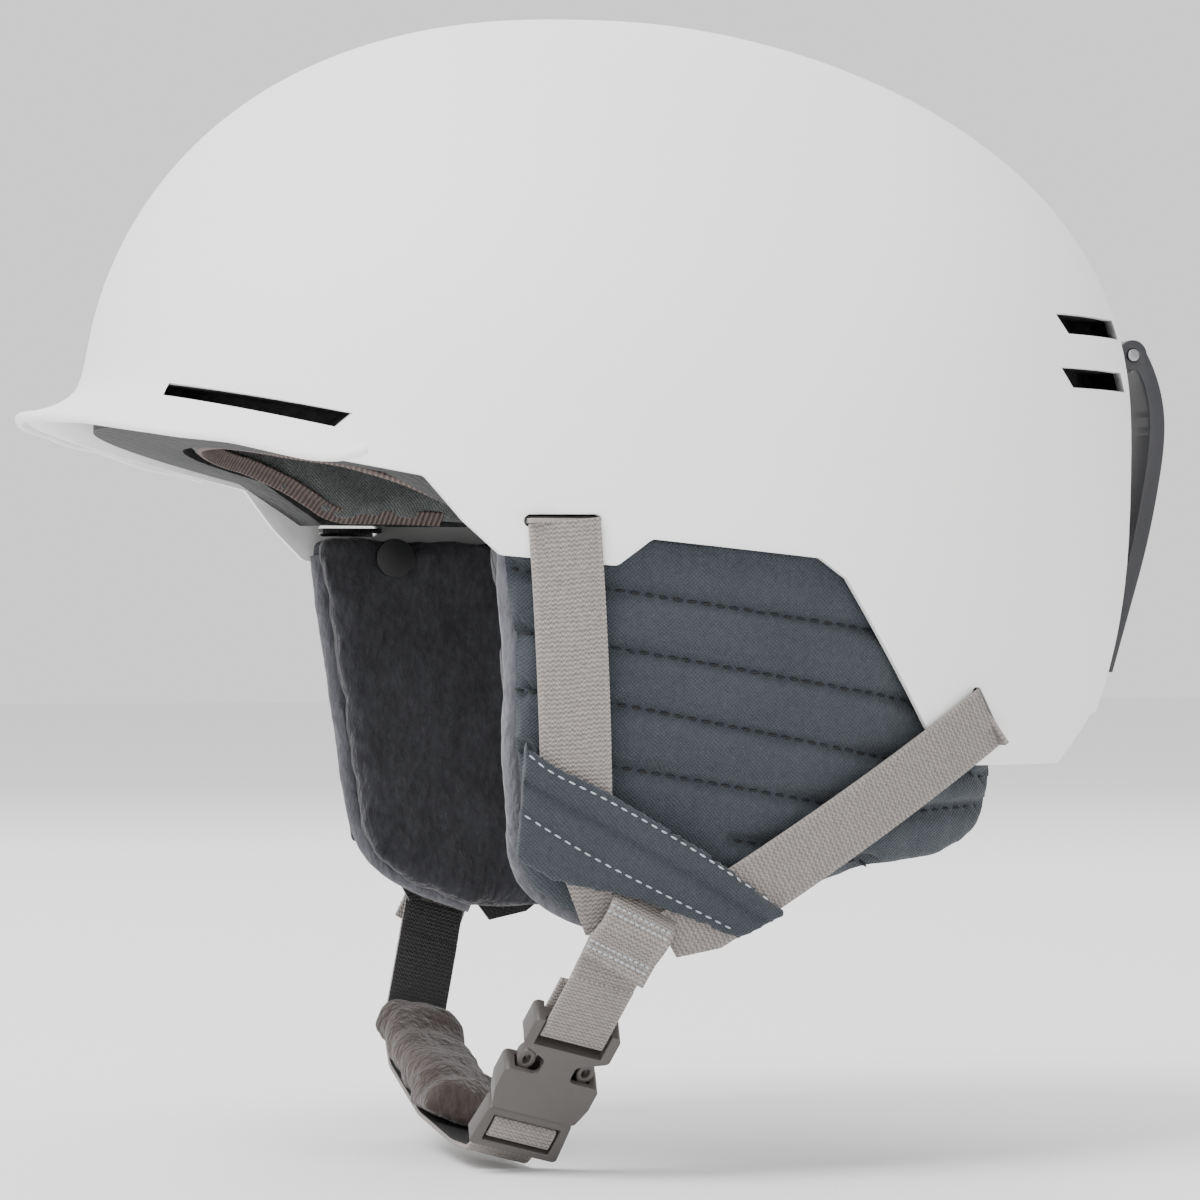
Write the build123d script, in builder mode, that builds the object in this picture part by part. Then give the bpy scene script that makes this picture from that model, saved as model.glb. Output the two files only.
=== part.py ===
from build123d import *
import math
import os

os.makedirs("parts", exist_ok=True)

# ---------------------------------------------------------------------------
# Hard-shell ski helmet with ear pads, a buckled chin strap and a hinged goggle
# retainer. Millimetres, +Z up. The wearer looks along -Y and the wearer's left
# is +X. The origin is the centre of the head opening, level with the ears.
# ---------------------------------------------------------------------------

# Dome of the outer shell
crown_height = 134.0            # top of the dome above the origin
widest_height = 35.0            # level of the dome's widest outline
dome_half_width = 107.0
dome_front = 129.5              # origin to the brow, without the brim
dome_rear = 134.7
dome_fullness = 2.12            # exponent of the dome's side profile
plan_fullness = 2.12            # exponent of the dome's plan outline
crown_forward = 10.5            # how far the crown leans towards the brow
rear_tuck = 2.33e-5             # cubic tuck of the rear wall below the widest outline
side_tuck = 0.0016              # square tuck of the side wall below it
outline_points = 20

# Brim
brim_reach = 17.0
brim_spread = 58.0              # degrees each side of the front where the brim fades out
brim_root = 6.0                 # height over which the brim flares out of the dome
lip_height = 4.1                # the lip's plane where it crosses the Z axis
lip_tilt = 11.8                 # degrees, front edge up

# Layers, measured inwards from the dome's outer face
shell_wall = 2.4
layer_gap = 0.4                 # clearance between fixed layers
liner_thickness = 22.0
pad_thickness = 5.0
ear_recess = 3.9                # outer face of the ear pad behind the shell's outer face
canvas_thickness = 7.6
fleece_thickness = 7.2
web_thickness = 1.2
web_standoff = 0.5              # straps run this far outside the shell
sleeve_thickness = 2.4

# Openings in the shell
front_slot = (17.5, 3.0)        # length, height
front_slot_centre = (-39.7, 8.3)
rear_slot = (17.0, 3.0)
rear_slot_centre = (71.1, -37.9)
rear_slot_angle = -54.4         # degrees from the Y axis, in the side view
brow_vent_height = 3.2
rear_vent_height = 4.8
rear_vent_pitch = 13.2
rear_vent_top = 59.4
vent_depth = 8.0                # blind depth of the vents and pockets in the impact liner

# Strap anchors inside the shell
anchor_length = 18.6
anchor_height = 7.0
anchor_depth = 4.5
anchor_room = 1.2               # pocket clearance round an anchor
pocket_height = 15.0

# Straps
web_width = 16.0
yoke_y = -22.0
yoke_z = -96.5
loop_tilt = 15.0                # degrees that the chin loop hangs forward
turn_in = 7.2                   # webbing inside the slot, up to its anchor
loop_gap = 2.2                  # free webbing between the yoke and the chin loop

# Side-release buckle
buckle_length = 43.5
buckle_half_width = 12.0
buckle_thickness = 7.0
ring_start = (66.0, -13.5)      # outer edge of the receptacle's ring, in the chin loop's plane
buckle_angle = 50.0             # degrees that the buckle dips below the horizontal
arm_root_x = 29.0
arm_offset = 7.4
arm_width = 2.2

# Goggle retainer
hinge_y = 139.0
hinge_z = 52.5
hinge_pin_radius = 1.6
hinge_clearance = 0.05
knuckle_radius = 3.3
knuckle_half = 6.0
retainer_half_width = 11.0
retainer_thickness = 4.2

# Fit cradle
cradle_inset = 33.0
cradle_thickness = 2.0
cradle_travel = 7.0
cradle_low = -30.0
cradle_high = -8.0

liner_inset = shell_wall + layer_gap
pad_inset = liner_inset + liner_thickness + layer_gap
far = 200.0


def share(z, inset):
    """Share of the widest outline that is left at a height on the dome."""
    t = max(0.0, (z - widest_height) / (crown_height - inset - widest_height))
    return max(0.0, 1.0 - t**dome_fullness) ** (1.0 / dome_fullness)


def lean(z):
    """Forward shift of the dome's outline at a height."""
    t = max(0.0, (z - widest_height) / (crown_height - widest_height))
    return crown_forward * t**3


def reach(z, front, inset):
    """Distance from the Z axis to the dome's front or rear wall at a height."""
    below = max(0.0, widest_height - z)
    if front:
        return (dome_front - inset) * share(z, inset) + lean(z)
    return (dome_rear - inset) * share(z, inset) - lean(z) - rear_tuck * below**3


def half_width(z, inset):
    """Half-width of the dome at a height."""
    below = max(0.0, widest_height - z)
    return (dome_half_width - inset) * share(z, inset) - side_tuck * below**2


def meet(height, tilt, front, inset):
    """Distance in a tilted section plane at which it meets the dome's wall."""
    slope = math.tan(math.radians(tilt))
    y = 0.0
    for _ in range(12):
        wall = reach(height - slope * y, front, inset)
        y = -wall if front else wall
    return abs(y) / math.cos(math.radians(tilt))


def wall_x(y, z, inset):
    """Half-width of the dome's lower wall at a place in the side view."""
    tilt = math.radians(lip_tilt)
    height = z + math.tan(tilt) * y
    wall = meet(height, lip_tilt, y < 0, inset) * math.cos(tilt)
    t = min(1.0, abs(y) / wall)
    return half_width(height, inset) * (1 - t**plan_fullness) ** (1 / plan_fullness)


def outline(front, rear, half, brim=0.0):
    """Closed smooth outline: an egg of two half superellipses, with a brim."""
    points = []
    for i in range(outline_points):
        a = math.pi + 2 * math.pi * i / outline_points
        c, s = math.cos(a), math.sin(a)
        wall = front if c > 0 else rear
        x = half * math.copysign(abs(s) ** (2 / plan_fullness), s)
        y = -wall * math.copysign(abs(c) ** (2 / plan_fullness), c)
        turn = abs(math.degrees(math.atan2(x, -y)))
        if brim and turn < brim_spread:
            out = brim * math.cos(math.radians(90 * turn / brim_spread)) ** 2
            size = math.hypot(x, y)
            x, y = x * (1 + out / size), y * (1 + out / size)
        points.append((x, y))
    return points


def tilted(height, tilt):
    """Section plane that rises towards the brow."""
    t = math.radians(tilt)
    return Plane(origin=(0, 0, height), x_dir=(1, 0, 0), z_dir=(0, math.sin(t), math.cos(t)))


def flare(above):
    """Brim reach at a height above the lip's plane."""
    return brim_reach * math.exp(-((max(0.0, above) / brim_root) ** 1.4))


def section(plane, points):
    """Face of one closed smooth outline."""
    with BuildSketch(plane) as face:
        with BuildLine():
            Spline(points, periodic=True)
        make_face()
    return face.sketch.face()


def dome(inset, brimmed=False):
    """Sections of the dome from below the rim up to the crown's point."""
    sink = 0.8 * inset if brimmed else 0.0
    low = (-60.0, -45.0, -30.0, -18.0, -8.0) if brimmed else (-60.0, -40.0, -20.0)
    rows = [(h, lip_tilt, brim_reach) for h in low]
    for above in (-4.0, 0.0, 3.0, 6.0, 9.5, 14.0, 20.0) if brimmed else (0.0, 20.0):
        rows.append((lip_height + above - sink, lip_tilt, flare(above)))
    start = lip_height + 20.0
    for k in range(1, 8):
        rise = math.sin(math.radians(90 * k / 8)) * (crown_height - inset - start)
        rows.append((start + rise, lip_tilt * (1 - k / 8), 0.0))
    faces = []
    for height, tilt, brim in rows:
        front = meet(height, tilt, True, inset)
        rear = meet(height, tilt, False, inset)
        half = half_width(height, inset)
        ring = outline(front, rear, half, brim if brimmed else 0.0)
        faces.append(section(tilted(height, tilt), ring))
    return [*faces, Vertex(0, -lean(crown_height), crown_height - inset)]


def skirt(inset):
    """Sections of the dome's lower wall, carried on down past the ears."""
    faces = []
    for height in (24.0, 6.0, -12.0, -30.0, -48.0, -66.0, -84.0, -102.0):
        front = meet(height, lip_tilt, True, inset)
        rear = meet(height, lip_tilt, False, inset)
        ring = outline(front, rear, half_width(height, inset))
        faces.append(section(tilted(height, lip_tilt), ring))
    return faces


def lip(y):
    """Height of the brim's lip plane in the side view."""
    return lip_height - math.tan(math.radians(lip_tilt)) * y


# ---------------------------------------------------------------------------
# Rims in the side view, as (Y, Z)
# ---------------------------------------------------------------------------
temple_y = -70.0
shell_rim = [
    (-far, lip(-far)), (temple_y, lip(temple_y)), (-61.5, 8.4), (-53.0, 0.4), (-27.0, -2.1),
    (-19.0, 4.1), (22.0, -0.2), (29.0, -5.0), (53.0, -40.0), (61.0, -49.5), (100.0, -50.0),
    (113.0, -38.0), (far, -38.0),
]
liner_rim = [
    (-far, lip(-far) + 1.5), (temple_y - 2, lip(temple_y) + 1.5), (-58.0, 12.0), (-54.0, 9.5),
    (33.5, 9.5), (61.5, -36.0), (64.0, -44.5), (98.0, -44.5), (111.0, -34.0), (far, -34.0),
]
ear_outline = [
    (-52.0, 6.8), (-50.0, -10.0), (-47.0, -42.0), (-44.0, -70.0), (-40.0, -77.5), (-29.0, -84.5),
    (-13.0, -90.5), (8.0, -90.0), (20.0, -84.0), (30.0, -78.6), (44.0, -73.5), (62.0, -72.0),
    (73.5, -66.5), (77.0, -60.0), (77.0, -46.5), (60.0, -46.5), (57.0, -38.0), (29.0, 6.8),
]
sleeve_outline = [
    (-49.0, -42.0), (-40.0, -48.0), (-27.0, -54.5), (-2.0, -69.0), (20.0, -84.0), (8.0, -90.0),
    (-17.0, -80.5), (-37.0, -76.0), (-47.0, -70.0),
]
yoke_centre = (-20.0, yoke_z + 7.0)
front_strap_end = (-30.0, yoke_z + 7.5)
rear_strap_end = (-8.0, yoke_z + 5.5)


def below(rim, floor=-far):
    """Side-view outline of everything under a rim."""
    return [*rim, (far, floor), (-far, floor), rim[0]]


def strip(start, end, width):
    """Side-view outline of a straight strap between two places."""
    dy, dz = end[0] - start[0], end[1] - start[1]
    size = math.hypot(dy, dz)
    ny, nz = -dz / size * width / 2, dy / size * width / 2
    return [
        (start[0] + ny, start[1] + nz), (end[0] + ny, end[1] + nz),
        (end[0] - ny, end[1] - nz), (start[0] - ny, start[1] - nz), (start[0] + ny, start[1] + nz),
    ]


brow_vent = [(-121.5, 38.4), (-120.0, 41.3), (-85.0, 33.3), (-88.5, 30.0), (-121.5, 38.4)]


def rear_vent(row):
    """Side-view outline of a rear vent with a raked front end."""
    top_z = rear_vent_top - row * rear_vent_pitch
    low_z = top_z - rear_vent_height
    return [(92.5, top_z), (96.5, low_z), (121.0, low_z), (119.0, top_z), (92.5, top_z)]


# ---------------------------------------------------------------------------
# Tools that several pieces share: the vents, and layers of the dome's wall
# ---------------------------------------------------------------------------
with BuildPart() as vent_bars:
    for side in (1, -1):
        with BuildSketch(Plane.YZ.offset(side * 30)):
            for vent in (brow_vent, rear_vent(0), rear_vent(1)):
                with BuildLine():
                    Polyline(vent)
                make_face()
        extrude(amount=side * 90)

front_anchor = (front_slot_centre[0], front_slot_centre[1] + 5.5)
rear_anchor = (rear_slot_centre[0] + 4.6, rear_slot_centre[1] + 3.2)
anchor_places = [(front_anchor, 0.0), (rear_anchor, rear_slot_angle)]

with BuildPart() as liner_recesses:
    add(vent_bars.part)
    for side in (1, -1):
        with BuildSketch(Plane.YZ.offset(side * 60)):
            for place, turn in anchor_places:
                with Locations(place):
                    Rectangle(anchor_length + 2 * anchor_room, pocket_height, rotation=turn)
        extrude(amount=side * 60)
    loft(sections=dome(liner_inset + vent_depth), mode=Mode.SUBTRACT)


def layer(outer, inner, sections=skirt):
    """Wall of the dome between two insets."""
    with BuildPart() as wall:
        loft(sections=sections(outer))
        loft(sections=sections(inner), mode=Mode.SUBTRACT)
    return wall.part


strap_inner = -web_standoff
strap_outer = strap_inner - web_thickness
sleeve_inner = strap_outer - 0.5
sleeve_outer = sleeve_inner - sleeve_thickness
fleece_inset = ear_recess + canvas_thickness + 0.3

strap_layer = layer(strap_outer, strap_inner)
canvas_layer = layer(ear_recess, ear_recess + canvas_thickness)
fleece_layer = layer(fleece_inset, fleece_inset + fleece_thickness)
sleeve_layer = layer(sleeve_outer, sleeve_inner)
block_layer = layer(sleeve_outer - 0.6, sleeve_inner)
cradle_layer = layer(cradle_inset, cradle_inset + cradle_thickness)
cradle_pad_layer = layer(cradle_inset + cradle_thickness + 0.2, cradle_inset + 7.0)
guide_layer = layer(pad_inset - layer_gap + 0.2, cradle_inset + cradle_thickness + 1.0)
anchor_layer = layer(liner_inset + 1.0, liner_inset + 1.0 + anchor_depth)
comfort_layer = layer(pad_inset, pad_inset + pad_thickness, dome)

# ---------------------------------------------------------------------------
# Outer shell: a dome with a flared brim, cut to its rim, slotted and vented
# ---------------------------------------------------------------------------
with BuildPart() as outer_shell:
    loft(sections=dome(0.0, brimmed=True))
    loft(sections=dome(shell_wall, brimmed=True), mode=Mode.SUBTRACT)
    with BuildSketch(Plane.YZ) as shell_cut:
        with BuildLine():
            Polyline(below(shell_rim))
        make_face()
        fillet(shell_cut.vertices().filter_by_position(Axis.X, -80, 120), radius=2.4)
    extrude(amount=far, both=True, mode=Mode.SUBTRACT)
    add(vent_bars.part, mode=Mode.SUBTRACT)
    for side in (1, -1):
        with BuildSketch(Plane.YZ.offset(side * 60)):
            with Locations(front_slot_centre):
                SlotOverall(front_slot[0], front_slot[1])
            with Locations(rear_slot_centre):
                SlotOverall(rear_slot[0], rear_slot[1], rotation=rear_slot_angle)
        extrude(amount=side * far, mode=Mode.SUBTRACT)
outer_shell.part.label = "outer_shell"
export_step(outer_shell.part, "parts/outer_shell.step")

# ---------------------------------------------------------------------------
# Impact liner: thick foam inside the shell, with strap pockets and blind vents
# ---------------------------------------------------------------------------
with BuildPart() as impact_liner:
    loft(sections=dome(liner_inset))
    loft(sections=dome(liner_inset + liner_thickness), mode=Mode.SUBTRACT)
    with BuildSketch(Plane.YZ):
        with BuildLine():
            Polyline(below(liner_rim))
        make_face()
    extrude(amount=far, both=True, mode=Mode.SUBTRACT)
    add(liner_recesses.part, mode=Mode.SUBTRACT)
impact_liner.part.label = "impact_liner"
export_step(impact_liner.part, "parts/impact_liner.step")

# ---------------------------------------------------------------------------
# Comfort pads: brow band from temple to temple, side pads and a crown pad
# ---------------------------------------------------------------------------
brow_pad_top = 46.0
brow_pad_end = -10.0
brow_y = -150.0
with BuildPart() as brow_pad:
    with BuildSketch(Plane.YZ):
        with BuildLine():
            Polyline(
                (brow_y, lip(brow_y) + 2.0), (temple_y - 2, lip(temple_y) + 2.0),
                (-58.0, 12.6), (-54.0, 10.2), (brow_pad_end, 10.2), (brow_pad_end, 30.0),
                (-28.0, brow_pad_top), (brow_y, brow_pad_top), (brow_y, lip(brow_y) + 2.0),
            )
        make_face()
    extrude(amount=far, both=True)
    add(comfort_layer, mode=Mode.INTERSECT)
brow_pad.part.label = "brow_pad"
export_step(brow_pad.part, "parts/brow_pad.step")

for name, side in (("left", 1), ("right", -1)):
    with BuildPart() as side_pad:
        with BuildSketch(Plane.YZ.offset(side * 30)):
            with Locations((38.0, 28.0)):
                RectangleRounded(76.0, 30.0, 8.0)
        extrude(amount=side * 80)
        add(comfort_layer, mode=Mode.INTERSECT)
    side_pad.part.label = f"side_pad_{name}"
    export_step(side_pad.part, f"parts/side_pad_{name}.step")

with BuildPart() as crown_pad:
    with BuildSketch(Plane.XY.offset(58)):
        with Locations((0, -8)):
            RectangleRounded(34.0, 150.0, 12.0)
            RectangleRounded(118.0, 30.0, 12.0)
    extrude(amount=80)
    add(comfort_layer, mode=Mode.INTERSECT)
crown_pad.part.label = "crown_pad"
export_step(crown_pad.part, "parts/crown_pad.step")

# ---------------------------------------------------------------------------
# Ear pads: quilted outer, fleece lining, diagonal strap sleeve and snaps
# ---------------------------------------------------------------------------
snap_radius = 5.0
snap_places = [(-32.0, 1.0), (6.0, 1.0)]
for name, side in (("left", 1), ("right", -1)):
    with BuildPart() as ear_canvas:
        with BuildSketch(Plane.YZ.offset(side * 30)) as ear_sketch:
            with BuildLine():
                Polyline(*ear_outline, ear_outline[0])
            make_face()
            fillet(ear_sketch.vertices().filter_by_position(Axis.Y, -90.2, -60), radius=2.0)
        extrude(amount=side * 90)
        add(canvas_layer, mode=Mode.INTERSECT)
    ear_canvas.part.label = f"ear_canvas_{name}"
    export_step(ear_canvas.part, f"parts/ear_canvas_{name}.step")

    with BuildPart() as ear_fleece:
        with BuildSketch(Plane.YZ.offset(side * 30)):
            with BuildLine():
                Polyline(*ear_outline, ear_outline[0])
            make_face()
        extrude(amount=side * 90)
        add(fleece_layer, mode=Mode.INTERSECT)
    ear_fleece.part.label = f"ear_fleece_{name}"
    export_step(ear_fleece.part, f"parts/ear_fleece_{name}.step")

    with BuildPart() as ear_sleeve:
        with BuildSketch(Plane.YZ.offset(side * 30)):
            with BuildLine():
                Polyline(*sleeve_outline, sleeve_outline[0])
            make_face()
        extrude(amount=side * 90)
        add(sleeve_layer, mode=Mode.INTERSECT)
    ear_sleeve.part.label = f"ear_sleeve_{name}"
    export_step(ear_sleeve.part, f"parts/ear_sleeve_{name}.step")

    # -----------------------------------------------------------------------
    # Upper straps, their anchors behind the shell, and the stitched yoke
    # -----------------------------------------------------------------------
    for strap, centre, end, turn in (
        ("front", front_slot_centre, front_strap_end, 0.0),
        ("rear", rear_slot_centre, rear_strap_end, rear_slot_angle),
    ):
        slot_x = wall_x(centre[0], centre[1], 0.0)
        with BuildPart() as strap_run:
            with BuildSketch(Plane.YZ.offset(side * 30)):
                with BuildLine():
                    Polyline(strip(centre, end, web_width))
                make_face()
            extrude(amount=side * 90)
            add(strap_layer, mode=Mode.INTERSECT)
            with BuildSketch(Plane.YZ.offset(side * (slot_x - turn_in))):
                with Locations(centre):
                    Rectangle(web_width, web_thickness, rotation=turn)
            extrude(amount=side * (turn_in + web_standoff + 0.5 * web_thickness))
        strap_run.part.label = f"{strap}_strap_{name}"
        export_step(strap_run.part, f"parts/{strap}_strap_{name}.step")

    with BuildPart() as yoke_block:
        with BuildSketch(Plane.YZ.offset(side * 30)):
            with Locations(yoke_centre):
                RectangleRounded(19.0, 11.0, 1.5, rotation=-18.0)
        extrude(amount=side * 90)
        add(block_layer, mode=Mode.INTERSECT)
    yoke_block.part.label = f"yoke_block_{name}"
    export_step(yoke_block.part, f"parts/yoke_block_{name}.step")

with BuildPart() as strap_anchors:
    for side in (1, -1):
        with BuildSketch(Plane.YZ.offset(side * 60)):
            for place, turn in anchor_places:
                with Locations(place):
                    SlotOverall(anchor_length, anchor_height, rotation=turn)
        extrude(amount=side * 60)
    add(anchor_layer, mode=Mode.INTERSECT)
strap_anchors.part.label = "strap_anchors"
export_step(strap_anchors.part, "parts/strap_anchors.step")

with BuildPart() as ear_snaps:
    for side in (1, -1):
        for place in snap_places:
            snap_x = wall_x(place[0], place[1], fleece_inset + fleece_thickness)
            with BuildSketch(Plane.YZ.offset(side * (snap_x - 4.2))):
                with Locations(place):
                    Circle(snap_radius)
            extrude(amount=side * 2.4)
ear_snaps.part.label = "ear_snaps"
export_step(ear_snaps.part, "parts/ear_snaps.step")

# ---------------------------------------------------------------------------
# Fit cradle: a springy band round the nape that slides back in its guides
# ---------------------------------------------------------------------------
cradle_middle = (cradle_low + cradle_high) / 2
with BuildPart() as fit_cradle:
    with BuildSketch(Plane.YZ):
        with BuildLine():
            Polyline(
                (56.0, cradle_high - 4), (64.0, cradle_high), (far, cradle_high),
                (far, cradle_low), (64.0, cradle_low), (56.0, cradle_low + 4),
                (56.0, cradle_high - 4),
            )
        make_face()
        with Locations((74.0, cradle_middle)):
            SlotOverall(20.0, 9.0, mode=Mode.SUBTRACT)
    extrude(amount=far, both=True)
    add(cradle_layer, mode=Mode.INTERSECT)
fit_cradle.part.label = "fit_cradle"
export_step(fit_cradle.part, "parts/fit_cradle.step")

with BuildPart() as nape_pad:
    with BuildSketch(Plane.XZ):
        with Locations((0, cradle_middle)):
            RectangleRounded(84.0, 20.0, 6.0)
    extrude(amount=-far)
    add(cradle_pad_layer, mode=Mode.INTERSECT)
nape_pad.part.label = "nape_pad"
export_step(nape_pad.part, "parts/nape_pad.step")

with BuildPart() as cradle_guides:
    for side in (1, -1):
        with BuildSketch(Plane.YZ.offset(side * 20)):
            with Locations((76.0, cradle_high + 2.0), (76.0, cradle_low - 2.0)):
                Rectangle(14.0, 3.0)
        extrude(amount=side * 80)
    add(guide_layer, mode=Mode.INTERSECT)
cradle_guides.part.label = "cradle_guides"
export_step(cradle_guides.part, "parts/cradle_guides.step")

# ---------------------------------------------------------------------------
# Goggle retainer: a curved arm on a pin, swinging up off a catch
# ---------------------------------------------------------------------------
head_radius = knuckle_radius + 0.6
back_wall = reach(hinge_z, False, 0.0)
catch_z = -31.2
catch_wall = reach(catch_z, False, 0.0)
arm_outer = [(147.6, 38.0), (146.4, 21.0), (142.6, 3.0), (137.4, -15.0), (133.4, -28.5)]
arm_depth = [4.2, 4.2, 4.0, 3.6, 3.0]
arm_inner = [(y - depth, z + 0.8) for (y, z), depth in zip(arm_outer, arm_depth)]

with BuildPart() as goggle_bracket:
    with BuildSketch(Plane.YZ):
        with BuildLine():
            Polyline(
                (back_wall - 6, hinge_z - 11), (back_wall + 1.0, hinge_z - 11),
                (back_wall + 1.0, hinge_z + 6), (back_wall - 6, hinge_z + 6),
                (back_wall - 6, hinge_z - 11),
            )
        make_face()
    extrude(amount=retainer_half_width + 2, both=True)
    with BuildSketch(Plane.YZ):
        with Locations((hinge_y, hinge_z)):
            Circle(knuckle_radius)
        with Locations(((back_wall + hinge_y) / 2, hinge_z)):
            Rectangle(hinge_y - back_wall, 2 * knuckle_radius)
    extrude(amount=knuckle_half, both=True)
    loft(sections=dome(-0.2), mode=Mode.SUBTRACT)
    with BuildSketch(Plane.YZ):
        with Locations((hinge_y, hinge_z)):
            Circle(hinge_pin_radius + hinge_clearance)
    extrude(amount=far, both=True, mode=Mode.SUBTRACT)
goggle_bracket.part.label = "goggle_bracket"
export_step(goggle_bracket.part, "parts/goggle_bracket.step")

with BuildPart() as hinge_pin:
    with BuildSketch(Plane.YZ.offset(-retainer_half_width - 0.6)):
        with Locations((hinge_y, hinge_z)):
            Circle(hinge_pin_radius)
    extrude(amount=2 * retainer_half_width + 1.2)
hinge_pin.part.label = "hinge_pin"
export_step(hinge_pin.part, "parts/hinge_pin.step")

with BuildPart() as goggle_retainer:
    with BuildSketch(Plane.YZ):
        with BuildLine():
            Spline((hinge_y + 2.6, hinge_z + 2.6), (hinge_y + 6.2, hinge_z - 4.5), *arm_outer)
            Line(arm_outer[-1], arm_inner[-1])
            Spline(*reversed(arm_inner), (hinge_y + 2.2, hinge_z - 5.6), (hinge_y, hinge_z - 2.6))
            Line((hinge_y, hinge_z - 2.6), (hinge_y + 2.6, hinge_z + 2.6))
        make_face()
        with Locations((hinge_y, hinge_z)):
            Circle(head_radius)
    extrude(amount=retainer_half_width, both=True)
    with BuildSketch(Plane.YZ):
        with Locations((hinge_y, hinge_z)):
            Circle(head_radius + 0.3)
        with Locations((hinge_y - 6.0, hinge_z)):
            Rectangle(12.0, 2 * knuckle_radius + 1.0)
    extrude(amount=knuckle_half + 0.4, both=True, mode=Mode.SUBTRACT)
    with BuildSketch(Plane.YZ):
        with Locations((hinge_y, hinge_z)):
            Circle(hinge_pin_radius + hinge_clearance)
    extrude(amount=far, both=True, mode=Mode.SUBTRACT)
goggle_retainer.part.label = "goggle_retainer"
export_step(goggle_retainer.part, "parts/goggle_retainer.step")

with BuildPart() as retainer_catch:
    with BuildSketch(Plane.YZ):
        with Locations((catch_wall + 0.2, catch_z)):
            Rectangle(5.0, 2.2)
    extrude(amount=retainer_half_width - 3, both=True)
    loft(sections=skirt(-0.1), mode=Mode.SUBTRACT)
retainer_catch.part.label = "retainer_catch"
export_step(retainer_catch.part, "parts/retainer_catch.step")

# ---------------------------------------------------------------------------
# Chin loop: a plane through both yokes that hangs slightly forward
# ---------------------------------------------------------------------------
hang = math.radians(loop_tilt)
loop_plane = Plane(
    origin=(0, yoke_y, yoke_z), x_dir=(1, 0, 0), z_dir=(0, -math.cos(hang), math.sin(hang))
)
dip = math.radians(buckle_angle)
along = (-math.cos(dip), -math.sin(dip))
outward = (math.sin(dip), -math.cos(dip))


def on_loop(run, off):
    """Place in the chin loop's plane, from a run along the buckle and an offset."""
    return (
        ring_start[0] + run * along[0] + off * outward[0],
        ring_start[1] + run * along[1] + off * outward[1],
    )


ring_bar = 3.4                  # the receptacle's web bar, along the buckle
ring_slot_end = 7.8
ladder_start = 36.0             # the insert's web bar, along the buckle
ladder_end = 38.8
web_off = 2.6                   # webbing's middle from a bar's middle plane
short_strap_start = (-loop_gap - ring_start[1]) / along[1]

buckle_plane = Plane(
    origin=loop_plane.from_local_coords(Vector(ring_start[0], ring_start[1], 0)),
    x_dir=loop_plane.from_local_coords(Vector(*on_loop(1, 0), 0))
    - loop_plane.from_local_coords(Vector(*ring_start, 0)),
    z_dir=loop_plane.from_local_coords(Vector(*on_loop(0, 1), 0))
    - loop_plane.from_local_coords(Vector(*ring_start, 0)),
)

with BuildPart() as short_strap:
    with BuildSketch(loop_plane):
        with BuildLine() as hairpin:
            FilletPolyline(
                on_loop(short_strap_start, web_off), on_loop(5.6, web_off),
                on_loop(5.6, -web_off), on_loop(short_strap_start + 6, -web_off),
                radius=1.4,
            )
        trace(line_width=web_thickness)
    extrude(amount=web_width / 2, both=True)
short_strap.part.label = "short_strap"
export_step(short_strap.part, "parts/short_strap.step")

neck_half = 4.0
socket_half = 9.6
socket_height = 4.2
shoulder_x = 17.0
mouth_x = 30.0
with BuildPart() as buckle_receptacle:
    with BuildSketch(buckle_plane) as shield:
        with BuildLine():
            Polyline(
                (0, 11.0), (8.5, 11.0), (12.0, neck_half), (shoulder_x, neck_half),
                (shoulder_x, buckle_half_width), (mouth_x - 6, buckle_half_width),
                (mouth_x, 10.6), (mouth_x, -10.6), (mouth_x - 6, -buckle_half_width),
                (shoulder_x, -buckle_half_width), (shoulder_x, -neck_half),
                (12.0, -neck_half), (8.5, -11.0), (0, -11.0), (0, 11.0),
            )
        make_face()
        fillet(shield.vertices(), radius=1.4)
    extrude(amount=buckle_thickness / 2, both=True)
    with BuildSketch(buckle_plane):
        with Locations(((ring_bar + ring_slot_end) / 2, 0)):
            Rectangle(ring_slot_end - ring_bar, web_width + 1.2)
    extrude(amount=far / 10, both=True, mode=Mode.SUBTRACT)
    for face in (1, -1):
        with BuildSketch(buckle_plane.offset(face * 1.6)):
            with Locations((1.0, 0)):
                Rectangle(5.0, web_width + 1.2)
        extrude(amount=face * 6, mode=Mode.SUBTRACT)
    with BuildSketch(buckle_plane):
        with Locations(((13.0 + mouth_x + 2) / 2, 0)):
            Rectangle(mouth_x + 2 - 13.0, 2 * socket_half)
        with Locations((14.0, 0)):
            Rectangle(6.4, 2.0 * neck_half - 2.0, mode=Mode.SUBTRACT)
    extrude(amount=socket_height / 2, both=True, mode=Mode.SUBTRACT)
buckle_receptacle.part.label = "buckle_receptacle"
export_step(buckle_receptacle.part, "parts/buckle_receptacle.step")

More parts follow.
